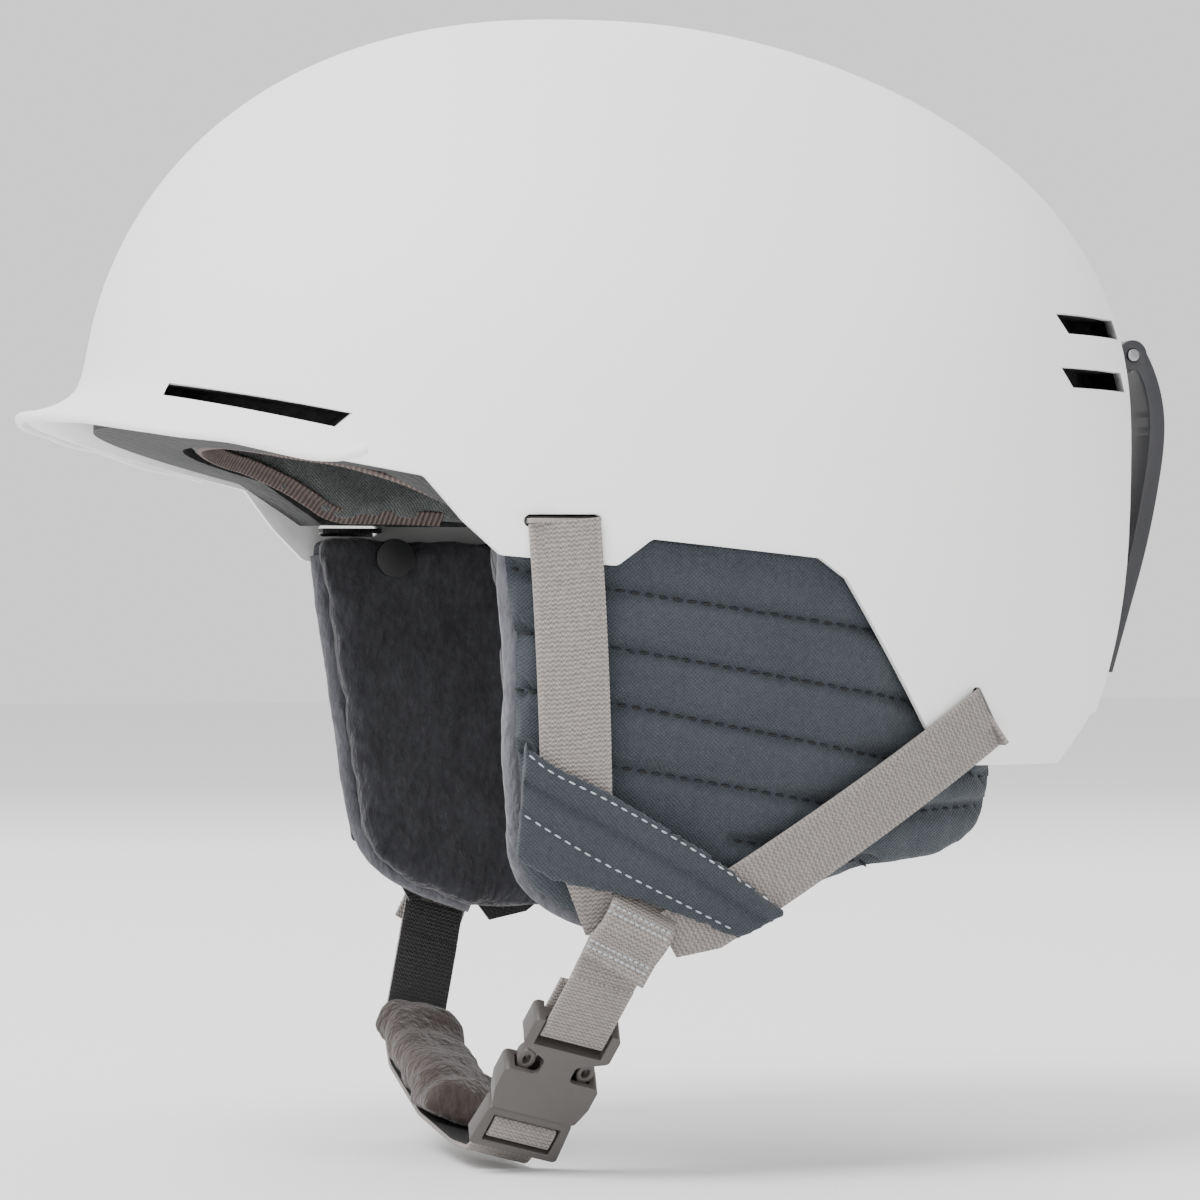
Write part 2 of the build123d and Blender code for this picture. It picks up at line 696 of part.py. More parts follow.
base_x = mouth_x + 0.6
with BuildPart() as buckle_insert:
    with BuildSketch(buckle_plane) as base:
        with BuildLine():
            Polyline(
                (base_x, 10.6), (buckle_length, 11.4), (buckle_length, -11.4),
                (base_x, -10.6), (base_x, 10.6),
            )
        make_face()
        fillet(base.vertices(), radius=1.2)
        for window in ((ladder_start - 1.5, 2.8), (ladder_end + 1.4, 2.8)):
            with Locations((window[0], 0)):
                Rectangle(window[1], web_width + 1.2, mode=Mode.SUBTRACT)
    extrude(amount=2.8, both=True)
    for face in (1, -1):
        with BuildSketch(buckle_plane.offset(face * 1.4)):
            with Locations(((ladder_start + ladder_end) / 2, 0)):
                Rectangle(ladder_end - ladder_start + 2, web_width + 1.2)
        extrude(amount=face * 6, mode=Mode.SUBTRACT)
    with BuildSketch(buckle_plane):
        with Locations(((18.0 + base_x) / 2, 0)):
            Rectangle(base_x + 1.0 - 18.0, 4.4)
    extrude(amount=socket_height / 2 - 0.4, both=True)
buckle_insert.part.label = "buckle_insert"
export_step(buckle_insert.part, "parts/buckle_insert.step")

for name, side in (("rear", 1), ("front", -1)):
    with BuildPart() as buckle_arm:
        with BuildSketch(buckle_plane) as arm:
            with Locations(((14.0 + arm_root_x) / 2, side * arm_offset)):
                Rectangle(arm_root_x - 14.0, arm_width)
            with Locations((arm_root_x, side * arm_offset)):
                Circle(arm_width / 2)
            with Locations((14.6, side * (arm_offset + 0.2))):
                Ellipse(3.0, 2.1)
            with Locations((14.6, side * (arm_offset + 0.2))):
                Ellipse(1.6, 0.9, mode=Mode.SUBTRACT)
        extrude(amount=socket_height / 2 - 0.4, both=True)
    buckle_arm.part.label = f"buckle_arm_{name}"
    export_step(buckle_arm.part, f"parts/buckle_arm_{name}.step")

chin_route = [(-80.0, -loop_gap), (-73.0, -27.0), (-58.0, -36.5), (-20.0, -46.0), (14.0, -50.0)]
with BuildPart() as chin_webbing:
    with BuildSketch(loop_plane):
        with BuildLine() as route:
            FilletPolyline(
                *chin_route, on_loop(buckle_length + 8, -4.4), on_loop(ladder_end + 1.6, -4.2),
                on_loop(ladder_end + 1.2, 2.3), on_loop(ladder_start - 1.5, 2.3),
                on_loop(ladder_start - 1.5, -2.4),
                radius=[18.0, 18.0, 30.0, 40.0, 6.0, 1.2, 1.0, 1.0],
            )
        trace(line_width=web_thickness)
    extrude(amount=web_width / 2, both=True)
chin_webbing.part.label = "chin_webbing"
export_step(chin_webbing.part, "parts/chin_webbing.step")

pad_room = 0.8
chin_pad_thickness = 10.0
pad_off = web_thickness / 2 + pad_room + chin_pad_thickness / 2


def beside(points, gap):
    """Polyline moved sideways to its left by a gap, with mitred corners."""
    moved = []
    for i, (x, y) in enumerate(points):
        before = points[max(0, i - 1)]
        after = points[min(len(points) - 1, i + 1)]
        a = math.atan2(y - before[1], x - before[0]) if i else None
        b = math.atan2(after[1] - y, after[0] - x) if i < len(points) - 1 else None
        a, b = (b if a is None else a), (a if b is None else b)
        middle = (a + b) / 2
        size = gap / math.cos((a - b) / 2)
        moved.append((x - size * math.sin(middle), y + size * math.cos(middle)))
    return moved


pad_end = (-75.0, -21.0)
pad_start = (-4.0, -47.9)
with BuildPart() as chin_pad:
    with BuildSketch(loop_plane):
        with BuildLine():
            FilletPolyline(beside([pad_end, *chin_route[1:4], pad_start], pad_off), radius=9.0)
        trace(line_width=chin_pad_thickness)
    extrude(amount=11.5, both=True)
chin_pad.part.label = "chin_pad"
export_step(chin_pad.part, "parts/chin_pad.step")
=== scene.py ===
"""Ski helmet: the visual model, built round the CAD frame in metres."""

import logging
import math
from collections.abc import Callable
from dataclasses import dataclass, field
from enum import Enum

import bpy
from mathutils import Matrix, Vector, noise
from mathutils.bvhtree import BVHTree
from mathutils.kdtree import KDTree


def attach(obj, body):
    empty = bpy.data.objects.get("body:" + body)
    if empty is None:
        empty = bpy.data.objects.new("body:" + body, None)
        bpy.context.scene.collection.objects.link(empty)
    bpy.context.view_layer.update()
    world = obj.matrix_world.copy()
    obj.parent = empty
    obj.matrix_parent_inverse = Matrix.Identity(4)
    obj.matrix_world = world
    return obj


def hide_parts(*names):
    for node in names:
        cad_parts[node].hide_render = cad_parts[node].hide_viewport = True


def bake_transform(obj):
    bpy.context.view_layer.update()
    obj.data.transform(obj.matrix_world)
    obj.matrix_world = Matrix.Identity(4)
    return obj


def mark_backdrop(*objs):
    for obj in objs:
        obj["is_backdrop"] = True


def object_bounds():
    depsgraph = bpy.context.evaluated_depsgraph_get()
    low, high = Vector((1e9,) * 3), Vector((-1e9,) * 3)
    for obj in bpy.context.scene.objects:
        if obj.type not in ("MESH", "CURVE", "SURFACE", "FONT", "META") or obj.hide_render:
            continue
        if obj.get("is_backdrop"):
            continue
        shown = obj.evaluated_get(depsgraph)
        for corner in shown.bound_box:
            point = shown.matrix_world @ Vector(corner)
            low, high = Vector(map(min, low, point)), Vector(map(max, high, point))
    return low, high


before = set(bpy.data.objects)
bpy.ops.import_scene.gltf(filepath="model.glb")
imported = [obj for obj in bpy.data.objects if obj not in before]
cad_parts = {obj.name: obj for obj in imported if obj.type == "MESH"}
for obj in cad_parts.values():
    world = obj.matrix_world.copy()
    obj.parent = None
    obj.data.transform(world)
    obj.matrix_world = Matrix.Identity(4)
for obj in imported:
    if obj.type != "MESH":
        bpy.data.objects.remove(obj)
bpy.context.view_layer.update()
MM = 0.001
BRACKET_FOOT = 47.5 * MM       # lower edge of the bracket's knuckle block
CLEAR_OF_HELMET = 0.3          # a ray's start outside everything
USUAL_SIDE = 0.08              # X of the side where a ray meets nothing
BLOCK_LOWEST = -92             # lowest Z in millimetres at which the straps are met
MERGE_DISTANCE = 2e-5
OUTER_FACE = 0.2               # a normal's share of X on a pad's outer face
SAME_PLANE = math.radians(0.6) # faces flatter than this are one
CLOTH_FRAMES = 20
WEB_WIDTH = 16 * MM
YOKE = (-22.0, -96.5)          # the yokes' Y and Z in millimetres
LOOP_TILT = math.radians(15.0)
LOG = logging.getLogger("ski_helmet")


class Body(Enum):
    """Moving bodies of the helmet."""

    HELMET = "helmet"
    LOOP = "chin_loop"
    ARM_REAR = "arm_rear"
    ARM_FRONT = "arm_front"
    RETAINER = "retainer"
    CRADLE = "cradle"


class Side(Enum):
    """Side of the helmet, by the sign of X."""

    LEFT = 1
    RIGHT = -1

    @property
    def word(self) -> str:
        """Lower-case name used in the names of pieces."""
        return self.name.lower()


# Shader building
class Value:
    """A number socket that takes part in Python arithmetic."""

    def __init__(self, shader: "Shader", socket: bpy.types.NodeSocket) -> None:
        """Keeps the shader and the socket."""
        self.shader = shader
        self.socket = socket

    def _math(self, operation: str, *others: object) -> "Value":
        """Result of a Math node, fed with numbers or values in order."""
        return self.shader.node("Math", {"operation": operation}, dict(enumerate(others)))

    def __add__(self, other: object) -> "Value":
        """Sum."""
        return self._math("ADD", self, other)

    __radd__ = __add__

    def __mul__(self, other: object) -> "Value":
        """Product."""
        return self._math("MULTIPLY", self, other)

    __rmul__ = __mul__

    def __sub__(self, other: object) -> "Value":
        """Difference."""
        return self._math("SUBTRACT", self, other)

    def __rsub__(self, other: object) -> "Value":
        """Reflected difference."""
        return self._math("SUBTRACT", other, self)

    def sine(self) -> "Value":
        """Sine of an angle in radians."""
        return self._math("SINE", self)

    def size(self) -> "Value":
        """Absolute value."""
        return self._math("ABSOLUTE", self)

    def above(self, limit: float) -> "Value":
        """1 where the value is over a limit, else 0."""
        return self._math("GREATER_THAN", self, limit)

    def clamped(self) -> "Value":
        """The value held between 0 and 1."""
        return self._math("MINIMUM", self._math("MAXIMUM", self, 0.0), 1.0)


class Shader:
    """One Principled material being built."""

    def __init__(self, name: str) -> None:
        """Starts an empty material with its Principled node."""
        self.material = bpy.data.materials.new(name)
        self.material.use_nodes = True
        self.tree = self.material.node_tree
        self.surface = self.tree.nodes["Principled BSDF"]

    def node(self, kind: str, settings: dict, sockets: dict, output: object = 0) -> Value:
        """Adds any node.

        Args:
            kind: the node's type without its ShaderNode prefix.
            settings: the node's own settings, set first.
            sockets: values or links by socket name or number.
            output: name or number of the output that is returned.

        Returns:
            The chosen output.
        """
        made = self.tree.nodes.new(f"ShaderNode{kind}")
        for key, value in settings.items():
            setattr(made, key, value)
        for key, value in sockets.items():
            if isinstance(value, Value):
                self.tree.links.new(value.socket, made.inputs[key])
            else:
                made.inputs[key].default_value = value
        return Value(self, made.outputs[output])

    def place(self) -> Value:
        """Object coordinates in metres."""
        return self.node("TexCoord", {}, {}, "Object")

    def cloth_map(self) -> Value:
        """The piece's own UV map, in millimetres."""
        return self.node("UVMap", {"uv_map": "UVMap"}, {})

    def axes(self, vector: Value) -> tuple[Value, Value, Value]:
        """Splits a vector into its three numbers."""
        made = self.tree.nodes.new("ShaderNodeSeparateXYZ")
        self.tree.links.new(vector.socket, made.inputs[0])
        return tuple(Value(self, out) for out in made.outputs)

    def clouds(self, vector: Value, scale: float, detail: float = 2.0) -> Value:
        """Noise from 0 to 1, at a scale per metre or per millimetre of the vector."""
        return self.node(
            "TexNoise", {}, {"Vector": vector, "Scale": scale, "Detail": detail}, "Fac"
        )

    def cells(self, vector: Value, scale: float) -> Value:
        """Distance to the nearest cell centre."""
        return self.node("TexVoronoi", {}, {"Vector": vector, "Scale": scale}, "Distance")

    def blend(self, share: object, first: object, second: object) -> Value:
        """Mixes two colours, where a share of 0 gives the first and 1 the second."""
        return self.node("Mix", {"data_type": "RGBA"}, {0: share, 6: first, 7: second}, 2)

    def feed(self, socket: str, value: object) -> None:
        """Sets or links one socket of the surface."""
        if isinstance(value, Value):
            self.tree.links.new(value.socket, self.surface.inputs[socket])
        else:
            self.surface.inputs[socket].default_value = value

    def relief(self, height: Value, depth_mm: float) -> None:
        """Raises the surface by a height from 0 to 1 and its real depth."""
        sockets = {"Height": height, "Distance": depth_mm * MM, "Strength": 1.0}
        self.feed("Normal", self.node("Bump", {}, sockets))


def rgb(red: float, green: float, blue: float) -> tuple[float, float, float, float]:
    """Linear colour from sRGB numbers from 0 to 255."""

    def line(c: float) -> float:
        """One channel, made linear."""
        c /= 255.0
        return c / 12.92 if c <= 0.04045 else ((c + 0.055) / 1.055) ** 2.4

    return (line(red), line(green), line(blue), 1.0)


TAU_PER_MM = 2 * math.pi / MM


@dataclass(frozen=True)
class Finish:
    """A finish with a colour, its darker mate and a roughness."""

    name: str
    colour: tuple
    shade: tuple
    rough: float = 0.6

    def material(self) -> bpy.types.Material:
        """Material of this finish, made once."""
        made = bpy.data.materials.get(self.name)
        return made if made else self.make()

    def make(self) -> bpy.types.Material:
        """Builds the material."""
        shader = Shader(self.name)
        shader.feed("Roughness", self.rough)
        self.pattern(shader)
        return shader.material

    def pattern(self, shader: Shader) -> None:
        """Plain mottled colour."""
        spots = shader.clouds(shader.place(), 90.0, 4.0)
        shader.feed("Base Color", shader.blend(spots, self.shade, self.colour))


class MattePaint(Finish):
    """Soft-touch matte paint on a moulded shell."""

    def pattern(self, shader: Shader) -> None:
        """Fine orange peel, faint handling marks and a slight change of tone."""
        place = shader.place()
        wide = shader.clouds(place, 14.0, 3.0)
        fine = shader.clouds(place, 2600.0, 2.0)
        marks = shader.clouds(place, 160.0, 6.0)
        shader.feed("Base Color", shader.blend(wide, self.shade, self.colour))
        shader.feed("Roughness", marks * 0.10 + (self.rough - 0.05))
        shader.feed("Specular IOR Level", 0.4)
        shader.relief(fine + wide * 0.2, 0.012)


class BeadFoam(Finish):
    """Expanded bead foam."""

    def pattern(self, shader: Shader) -> None:
        """Packed round beads with dark joints."""
        place = shader.place()
        beads = shader.cells(place, 330.0)
        fine = shader.clouds(place, 1500.0, 3.0)
        shader.feed("Base Color", shader.blend((beads * 1.4).clamped(), self.colour, self.shade))
        shader.feed("Roughness", fine * 0.2 + self.rough)
        shader.relief(1.0 - beads + fine * 0.2, 0.5)


class CanvasCloth(Finish):
    """Plain-weave canvas with a slightly uneven dye."""

    def pattern(self, shader: Shader) -> None:
        """Crossed threads over object Y and Z with slubs."""
        place = shader.place()
        _, y, z = shader.axes(place)
        wander = shader.clouds(place, 120.0, 3.0) * 0.0016
        warp = ((y + wander) * (TAU_PER_MM / 0.95)).sine()
        weft = ((z + wander) * (TAU_PER_MM / 0.95)).sine()
        weave = warp * weft * 0.5 + 0.5
        slub = shader.clouds(place, 700.0, 4.0)
        dye = shader.clouds(place, 45.0, 3.0)
        tone = (weave * 0.45 + slub * 0.5 + dye * 0.35 - 0.15).clamped()
        shader.feed("Base Color", shader.blend(tone, self.shade, self.colour))
        shader.feed("Roughness", slub * 0.12 + self.rough)
        shader.feed("Specular IOR Level", 0.22)
        shader.feed("Sheen Weight", 0.12)
        shader.relief(weave + slub * 0.7, 0.22)


class FleeceCloth(Finish):
    """Short brushed pile."""

    def pattern(self, shader: Shader) -> None:
        """Streaky tufts at three scales."""
        place = shader.place()
        streak = shader.node(
            "Mapping", {},
            {"Vector": place, "Scale": (1.0, 1.0, 0.45), "Rotation": (0.5, 0.0, 0.0)},
        )
        tufts = shader.clouds(streak, 650.0, 6.0)
        locks = shader.clouds(streak, 170.0, 4.0)
        lay = shader.clouds(place, 38.0, 2.0)
        tone = (tufts * 0.8 + locks * 0.7 + lay * 0.4 - 0.5).clamped()
        shader.feed("Base Color", shader.blend(tone, self.shade, self.colour))
        shader.feed("Roughness", 0.95)
        shader.feed("Sheen Weight", 0.25)
        shader.feed("Sheen Roughness", 0.5)
        shader.feed("Specular IOR Level", 0.1)
        shader.relief(tufts + locks * 1.2, 1.3)


class WovenTape(Finish):
    """Flat woven webbing, mapped in millimetres along and across."""

    def pattern(self, shader: Shader) -> None:
        """Stepped cross ribs between two plain selvedges."""
        along, across, _ = shader.axes(shader.cloth_map())
        ridge = (across * (2 * math.pi / 1.25)).sine()
        rib = (along * (2 * math.pi / 1.1) + ridge * 1.1).sine()
        threads = ridge * rib * 0.5 + 0.5
        edge = ((across - 8.0).size() - 7.0).above(0.0)
        worn = shader.clouds(shader.place(), 900.0, 4.0)
        tone = (threads * 0.65 + worn * 0.5 - 0.1 + edge * 0.08).clamped()
        shader.feed("Base Color", shader.blend(tone, self.shade, self.colour))
        shader.feed("Roughness", worn * 0.15 + self.rough)
        shader.feed("Specular IOR Level", 0.35)
        shader.relief(threads + worn * 0.3, 0.28)


class RibbedTape(Finish):
    """Elastic binding with close ribs."""

    def pattern(self, shader: Shader) -> None:
        """Ribs across the tape, from its own map in millimetres."""
        along, _, _ = shader.axes(shader.cloth_map())
        rib = (along * (2 * math.pi / 1.5)).sine() * 0.5 + 0.5
        worn = shader.clouds(shader.place(), 900.0, 4.0)
        tone = (rib * 0.7 + worn * 0.3).clamped()
        shader.feed("Base Color", shader.blend(tone, self.shade, self.colour))
        shader.relief(rib + worn * 0.3, 0.4)


class GrainedPlastic(Finish):
    """Moulded plastic with a fine spark texture."""

    def pattern(self, shader: Shader) -> None:
        """Fine grain, flow marks and rubbed patches."""
        place = shader.place()
        grain = shader.clouds(place, 3800.0, 3.0)
        flow = shader.clouds(place, 60.0, 5.0)
        shader.feed("Base Color", shader.blend(flow, self.shade, self.colour))
        shader.feed("Roughness", grain * 0.14 + flow * 0.1 + (self.rough - 0.1))
        shader.relief(grain, 0.03)


class TurnedSteel(Finish):
    """Drawn steel pin."""

    def pattern(self, shader: Shader) -> None:
        """Fine scratches round the pin."""
        x, _, _ = shader.axes(shader.place())
        lines = (x * (TAU_PER_MM / 0.3)).sine() * 0.5 + 0.5
        shader.feed("Base Color", self.colour)
        shader.feed("Metallic", 1.0)
        shader.feed("Roughness", lines * 0.15 + self.rough)


SHELL_WHITE = MattePaint("shell_white", rgb(226, 226, 227), rgb(220, 220, 222), 0.5)
FOAM_BLACK = BeadFoam("foam_black", rgb(34, 34, 36), rgb(14, 14, 15), 0.65)
CANVAS_SLATE = CanvasCloth("canvas_slate", rgb(68, 73, 79), rgb(33, 37, 41), 0.85)
FLEECE_CHARCOAL = FleeceCloth("fleece_charcoal", rgb(76, 76, 81), rgb(26, 26, 29), 0.95)
FLEECE_SILVER = FleeceCloth("fleece_silver", rgb(118, 118, 124), rgb(66, 66, 71), 0.95)
FLEECE_TAUPE = FleeceCloth("fleece_taupe", rgb(92, 82, 79), rgb(48, 41, 39), 0.95)
WEB_GREY = WovenTape("web_grey", rgb(162, 156, 152), rgb(76, 71, 69), 0.6)
WEB_DARK = WovenTape("web_dark", rgb(60, 58, 59), rgb(24, 23, 24), 0.6)
PAD_FABRIC = CanvasCloth("pad_fabric", rgb(112, 114, 114), rgb(64, 66, 66), 0.9)
BINDING_BROWN = RibbedTape("binding_brown", rgb(118, 104, 99), rgb(66, 56, 53), 0.8)
BUCKLE_GREY = GrainedPlastic("buckle_grey", rgb(80, 76, 74), rgb(66, 63, 61), 0.42)
PLASTIC_DARK = GrainedPlastic("plastic_dark", rgb(46, 46, 50), rgb(36, 36, 40), 0.42)
PLASTIC_BLACK = GrainedPlastic("plastic_black", rgb(26, 26, 28), rgb(16, 16, 18), 0.5)
PIN_STEEL = TurnedSteel("pin_steel", rgb(150, 150, 152), rgb(120, 120, 122), 0.3)
THREAD_DARK = Finish("thread_dark", rgb(18, 20, 23), rgb(12, 13, 15), 0.7)
THREAD_LIGHT = Finish("thread_light", rgb(176, 180, 184), rgb(140, 144, 148), 0.7)


# Modelling helpers
def solo(piece: bpy.types.Object) -> None:
    """Selects one piece and nothing else."""
    bpy.ops.object.select_all(action="DESELECT")
    piece.select_set(True)
    bpy.context.view_layer.objects.active = piece


def modify(piece: bpy.types.Object, kind: str, **settings: object) -> None:
    """Adds and applies one modifier.

    Args:
        piece: the object to change.
        kind: Blender's modifier type.
        settings: the modifier's settings.
    """
    solo(piece)
    made = piece.modifiers.new(kind.title(), kind)
    for key, value in settings.items():
        setattr(made, key, value)
    bpy.ops.object.modifier_apply(modifier=made.name)


def smooth(piece: bpy.types.Object, degrees: float = 40.0) -> None:
    """Shades a piece smooth below an angle."""
    solo(piece)
    bpy.ops.object.shade_smooth_by_angle(angle=math.radians(degrees))


def dress(piece: bpy.types.Object, finish: Finish) -> None:
    """Gives a piece one material."""
    piece.data.materials.clear()
    piece.data.materials.append(finish.material())


def stand_for(
    piece: bpy.types.Object, node: str, coat: Finish, body: Body
) -> bpy.types.Object:
    """Dresses a piece, gives it to its body and lets it stand for a CAD node.

    Args:
        piece: the finished piece.
        node: the CAD node that it replaces.
        coat: its finish.
        body: its moving body.

    Returns:
        The same piece.
    """
    dress(piece, coat)
    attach(piece, body.value)
    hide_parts(node)
    LOG.info("%s: %d faces", piece.name, len(piece.data.polygons))
    return piece


def edit_all(piece: bpy.types.Object, operation: Callable, **settings: object) -> None:
    """Runs one mesh operation on the whole of a piece.

    Args:
        piece: the piece to edit.
        operation: the operation, from bpy.ops.mesh.
        settings: the operation's settings.
    """
    solo(piece)
    bpy.ops.object.mode_set(mode="EDIT")
    bpy.ops.mesh.select_all(action="SELECT")
    operation(**settings)
    bpy.ops.object.mode_set(mode="OBJECT")


def copy_of(node: str, name: str) -> bpy.types.Object:
    """A free, merged copy of a CAD node.

    Args:
        node: the CAD node's name.
        name: the new piece's name.

    Returns:
        The copy, with no parent.
    """
    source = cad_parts[node]
    made = bpy.data.objects.new(name, source.data.copy())
    bpy.context.scene.collection.objects.link(made)
    edit_all(made, bpy.ops.mesh.remove_doubles, threshold=MERGE_DISTANCE)
    return made


def tree_of(mesh: bpy.types.Mesh) -> BVHTree:
    """Search tree of a mesh's triangles."""
    mesh.calc_loop_triangles()
    points = [v.co.copy() for v in mesh.vertices]
    return BVHTree.FromPolygons(points, [tuple(t.vertices) for t in mesh.loop_triangles])


def path_points(points: list[Vector], step: float) -> list[Vector]:
    """Evenly spaced points on a smooth curve through some points.

    Args:
        points: the points the curve passes.
        step: spacing along the curve.

    Returns:
        The spaced points, first and last included.
    """
    dense = []
    for i in range(len(points) - 1):
        p0 = points[max(i - 1, 0)]
        p1, p2 = points[i], points[i + 1]
        p3 = points[min(i + 2, len(points) - 1)]
        for k in range(24):
            t = k / 24
            a = p1 * 2 + (p2 - p0) * t
            b = (p0 * 2 - p1 * 5 + p2 * 4 - p3) * t * t
            c = (p1 * 3 - p0 - p2 * 3 + p3) * t**3
            dense.append((a + b + c) / 2)
    dense.append(points[-1].copy())
    lengths = [0.0]
    for a, b in zip(dense, dense[1:]):
        lengths.append(lengths[-1] + (b - a).length)
    count = max(2, round(lengths[-1] / step))
    spaced, j = [], 0
    for k in range(count + 1):
        want = lengths[-1] * k / count
        while j < len(dense) - 2 and lengths[j + 1] < want:
            j += 1
        span = max(lengths[j + 1] - lengths[j], 1e-9)
        spaced.append(dense[j].lerp(dense[j + 1], min(1.0, (want - lengths[j]) / span)))
    return spaced


@dataclass
class Ribbon:
    """A flat woven strap that follows a route."""

    name: str
    route: list[Vector]
    facing: list[Vector]
    width: float = WEB_WIDTH
    thickness: float = 1.3 * MM
    step: float = 1.6 * MM
    ripple: float = 0.25 * MM

    def build(self) -> bpy.types.Object:
        """Lays a grid along the route and thickens it.

        Returns:
            The strap, mapped in millimetres.
        """
        centre = path_points(self.route, self.step)
        across = 10
        bpy.ops.mesh.primitive_grid_add(
            x_subdivisions=len(centre) - 1, y_subdivisions=across, size=1.0
        )
        piece = bpy.context.object
        piece.name = self.name
        total = (len(centre) - 1) * self.step
        count = len(centre) - 1
        for vertex in piece.data.vertices:
            k = min(count, max(0, round((vertex.co.x + 0.5) * count)))
            t = k / count
            before, after = centre[max(0, k - 1)], centre[min(count, k + 1)]
            run = (after - before).normalized()
            place = t * (len(self.facing) - 1)
            low = min(int(place), len(self.facing) - 2)
            out = self.facing[low].lerp(self.facing[low + 1], place - low)
            over = out.cross(run).normalized()
            normal = run.cross(over).normalized()
            spot = Vector((t * 9 + len(self.name), vertex.co.y * 2, 1))
            swell = noise.noise(spot) * self.ripple
            vertex.co = centre[k] + over * (vertex.co.y * self.width) + normal * swell
        layer = piece.data.uv_layers.active
        layer.name = "UVMap"
        for item in layer.data:
            item.uv = (item.uv.x * total / MM, item.uv.y * self.width / MM)
        modify(piece, "SOLIDIFY", thickness=self.thickness, offset=0.0, use_quality_normals=True)
        modify(piece, "BEVEL", width=0.35 * MM, segments=2, limit_method="ANGLE", angle_limit=1.0)
        smooth(piece, 50)
        return piece


def tube(name: str, route: list[Vector], radius: float, sides: int = 14) -> bpy.types.Object:
    """A round cord or piping along a route.

    Args:
        name: the piece's name.
        route: points that it passes.
        radius: its radius.
        sides: faces round it.

    Returns:
        The closed tube.
    """
    centre = path_points(route, radius * 0.9)
    bpy.ops.mesh.primitive_cylinder_add(
        vertices=sides, radius=1.0, depth=1.0, end_fill_type="NGON"
    )
    piece = bpy.context.object
    piece.name = name
    bpy.ops.object.mode_set(mode="EDIT")
    bpy.ops.mesh.select_all(action="DESELECT")
    bpy.ops.object.mode_set(mode="OBJECT")
    for edge in piece.data.edges:
        a, b = (piece.data.vertices[i].co for i in edge.vertices)
        edge.select = abs(a.z - b.z) > 0.5
    bpy.ops.object.mode_set(mode="EDIT")
    bpy.ops.mesh.select_mode(type="EDGE")
    bpy.ops.mesh.subdivide(number_cuts=len(centre) - 2)
    bpy.ops.object.mode_set(mode="OBJECT")
    count = len(centre) - 1
    for vertex in piece.data.vertices:
        k = min(count, max(0, round((vertex.co.z + 0.5) * count)))
        run = (centre[min(count, k + 1)] - centre[max(0, k - 1)]).normalized()
        first = run.cross(Vector((1, 0.01, 0.02))).normalized()
        second = run.cross(first)
        vertex.co = centre[k] + first * vertex.co.x * radius + second * vertex.co.y * radius
    edit_all(piece, bpy.ops.mesh.normals_make_consistent, inside=False)
    smooth(piece, 60)
    return piece


def stitches(
    name: str, spots: list[tuple[Vector, Vector, Vector]], length: float, radius: float
) -> bpy.types.Object:
    """A row of sewn stitches, one small rod copied along a line.

    Args:
        name: the piece's name.
        spots: centre, run direction and outward direction of each stitch.
        length: length of one stitch.
        radius: radius of the thread.

    Returns:
        All the stitches as one piece.
    """
    bpy.ops.mesh.primitive_uv_sphere_add(segments=6, ring_count=5, radius=1.0)
    rod = bpy.context.object
    shape = [v.co.copy() for v in rod.data.vertices]
    copies = []
    for centre, run, out in spots:
        made = rod.copy()
        made.data = rod.data.copy()
        bpy.context.scene.collection.objects.link(made)
        over = run.cross(out).normalized()
        for vertex, co in zip(made.data.vertices, shape):
            along = run * (co.z * length / 2)
            vertex.co = centre + along + over * (co.x * radius) + out * (co.y * radius)
        copies.append(made)
    bpy.data.objects.remove(rod)
    bpy.ops.object.select_all(action="DESELECT")
    for made in copies:
        made.select_set(True)
    bpy.context.view_layer.objects.active = copies[0]
    bpy.ops.object.join()
    piece = bpy.context.object
    piece.name = name
    smooth(piece, 80)
    return piece


def settle(piece: bpy.types.Object, pressure: float, cap: float) -> None:
    """Inflates a closed piece as cloth, with gravity off.

    Args:
        piece: the closed mesh.
        pressure: inner pressure.
        cap: farthest that a point may move.
    """
    before = [v.co.copy() for v in piece.data.vertices]
    scene = bpy.context.scene
    solo(piece)
    cloth = piece.modifiers.new("Cloth", "CLOTH")
    settings = cloth.settings
    settings.quality = 4
    settings.mass = 0.2
    settings.use_pressure = True
    settings.uniform_pressure_force = pressure
    settings.effector_weights.gravity = 0.0
    settings.tension_stiffness = 12.0
    settings.compression_stiffness = 8.0
    settings.bending_stiffness = 0.3
    settings.air_damping = 4.0
    cloth.point_cache.frame_start = 1
    cloth.point_cache.frame_end = CLOTH_FRAMES
    for number in range(1, CLOTH_FRAMES + 1):
        scene.frame_set(number)
    bpy.ops.object.modifier_apply(modifier=cloth.name)
    scene.frame_set(1)
    for vertex, old in zip(piece.data.vertices, before):
        move = vertex.co - old
        if move.length > cap:
            vertex.co = old + move * (cap / move.length)


def swell_by(piece: bpy.types.Object, amount: Callable[[Vector, Vector], float]) -> None:
    """Moves each point of a piece along its own normal.

    Args:
        piece: the piece to shape.
        amount: gives a point's move from its place and normal.
    """
    piece.data.update()
    normals = [v.normal.copy() for v in piece.data.vertices]
    for vertex, normal in zip(piece.data.vertices, normals):
        vertex.co += normal * amount(vertex.co, normal)


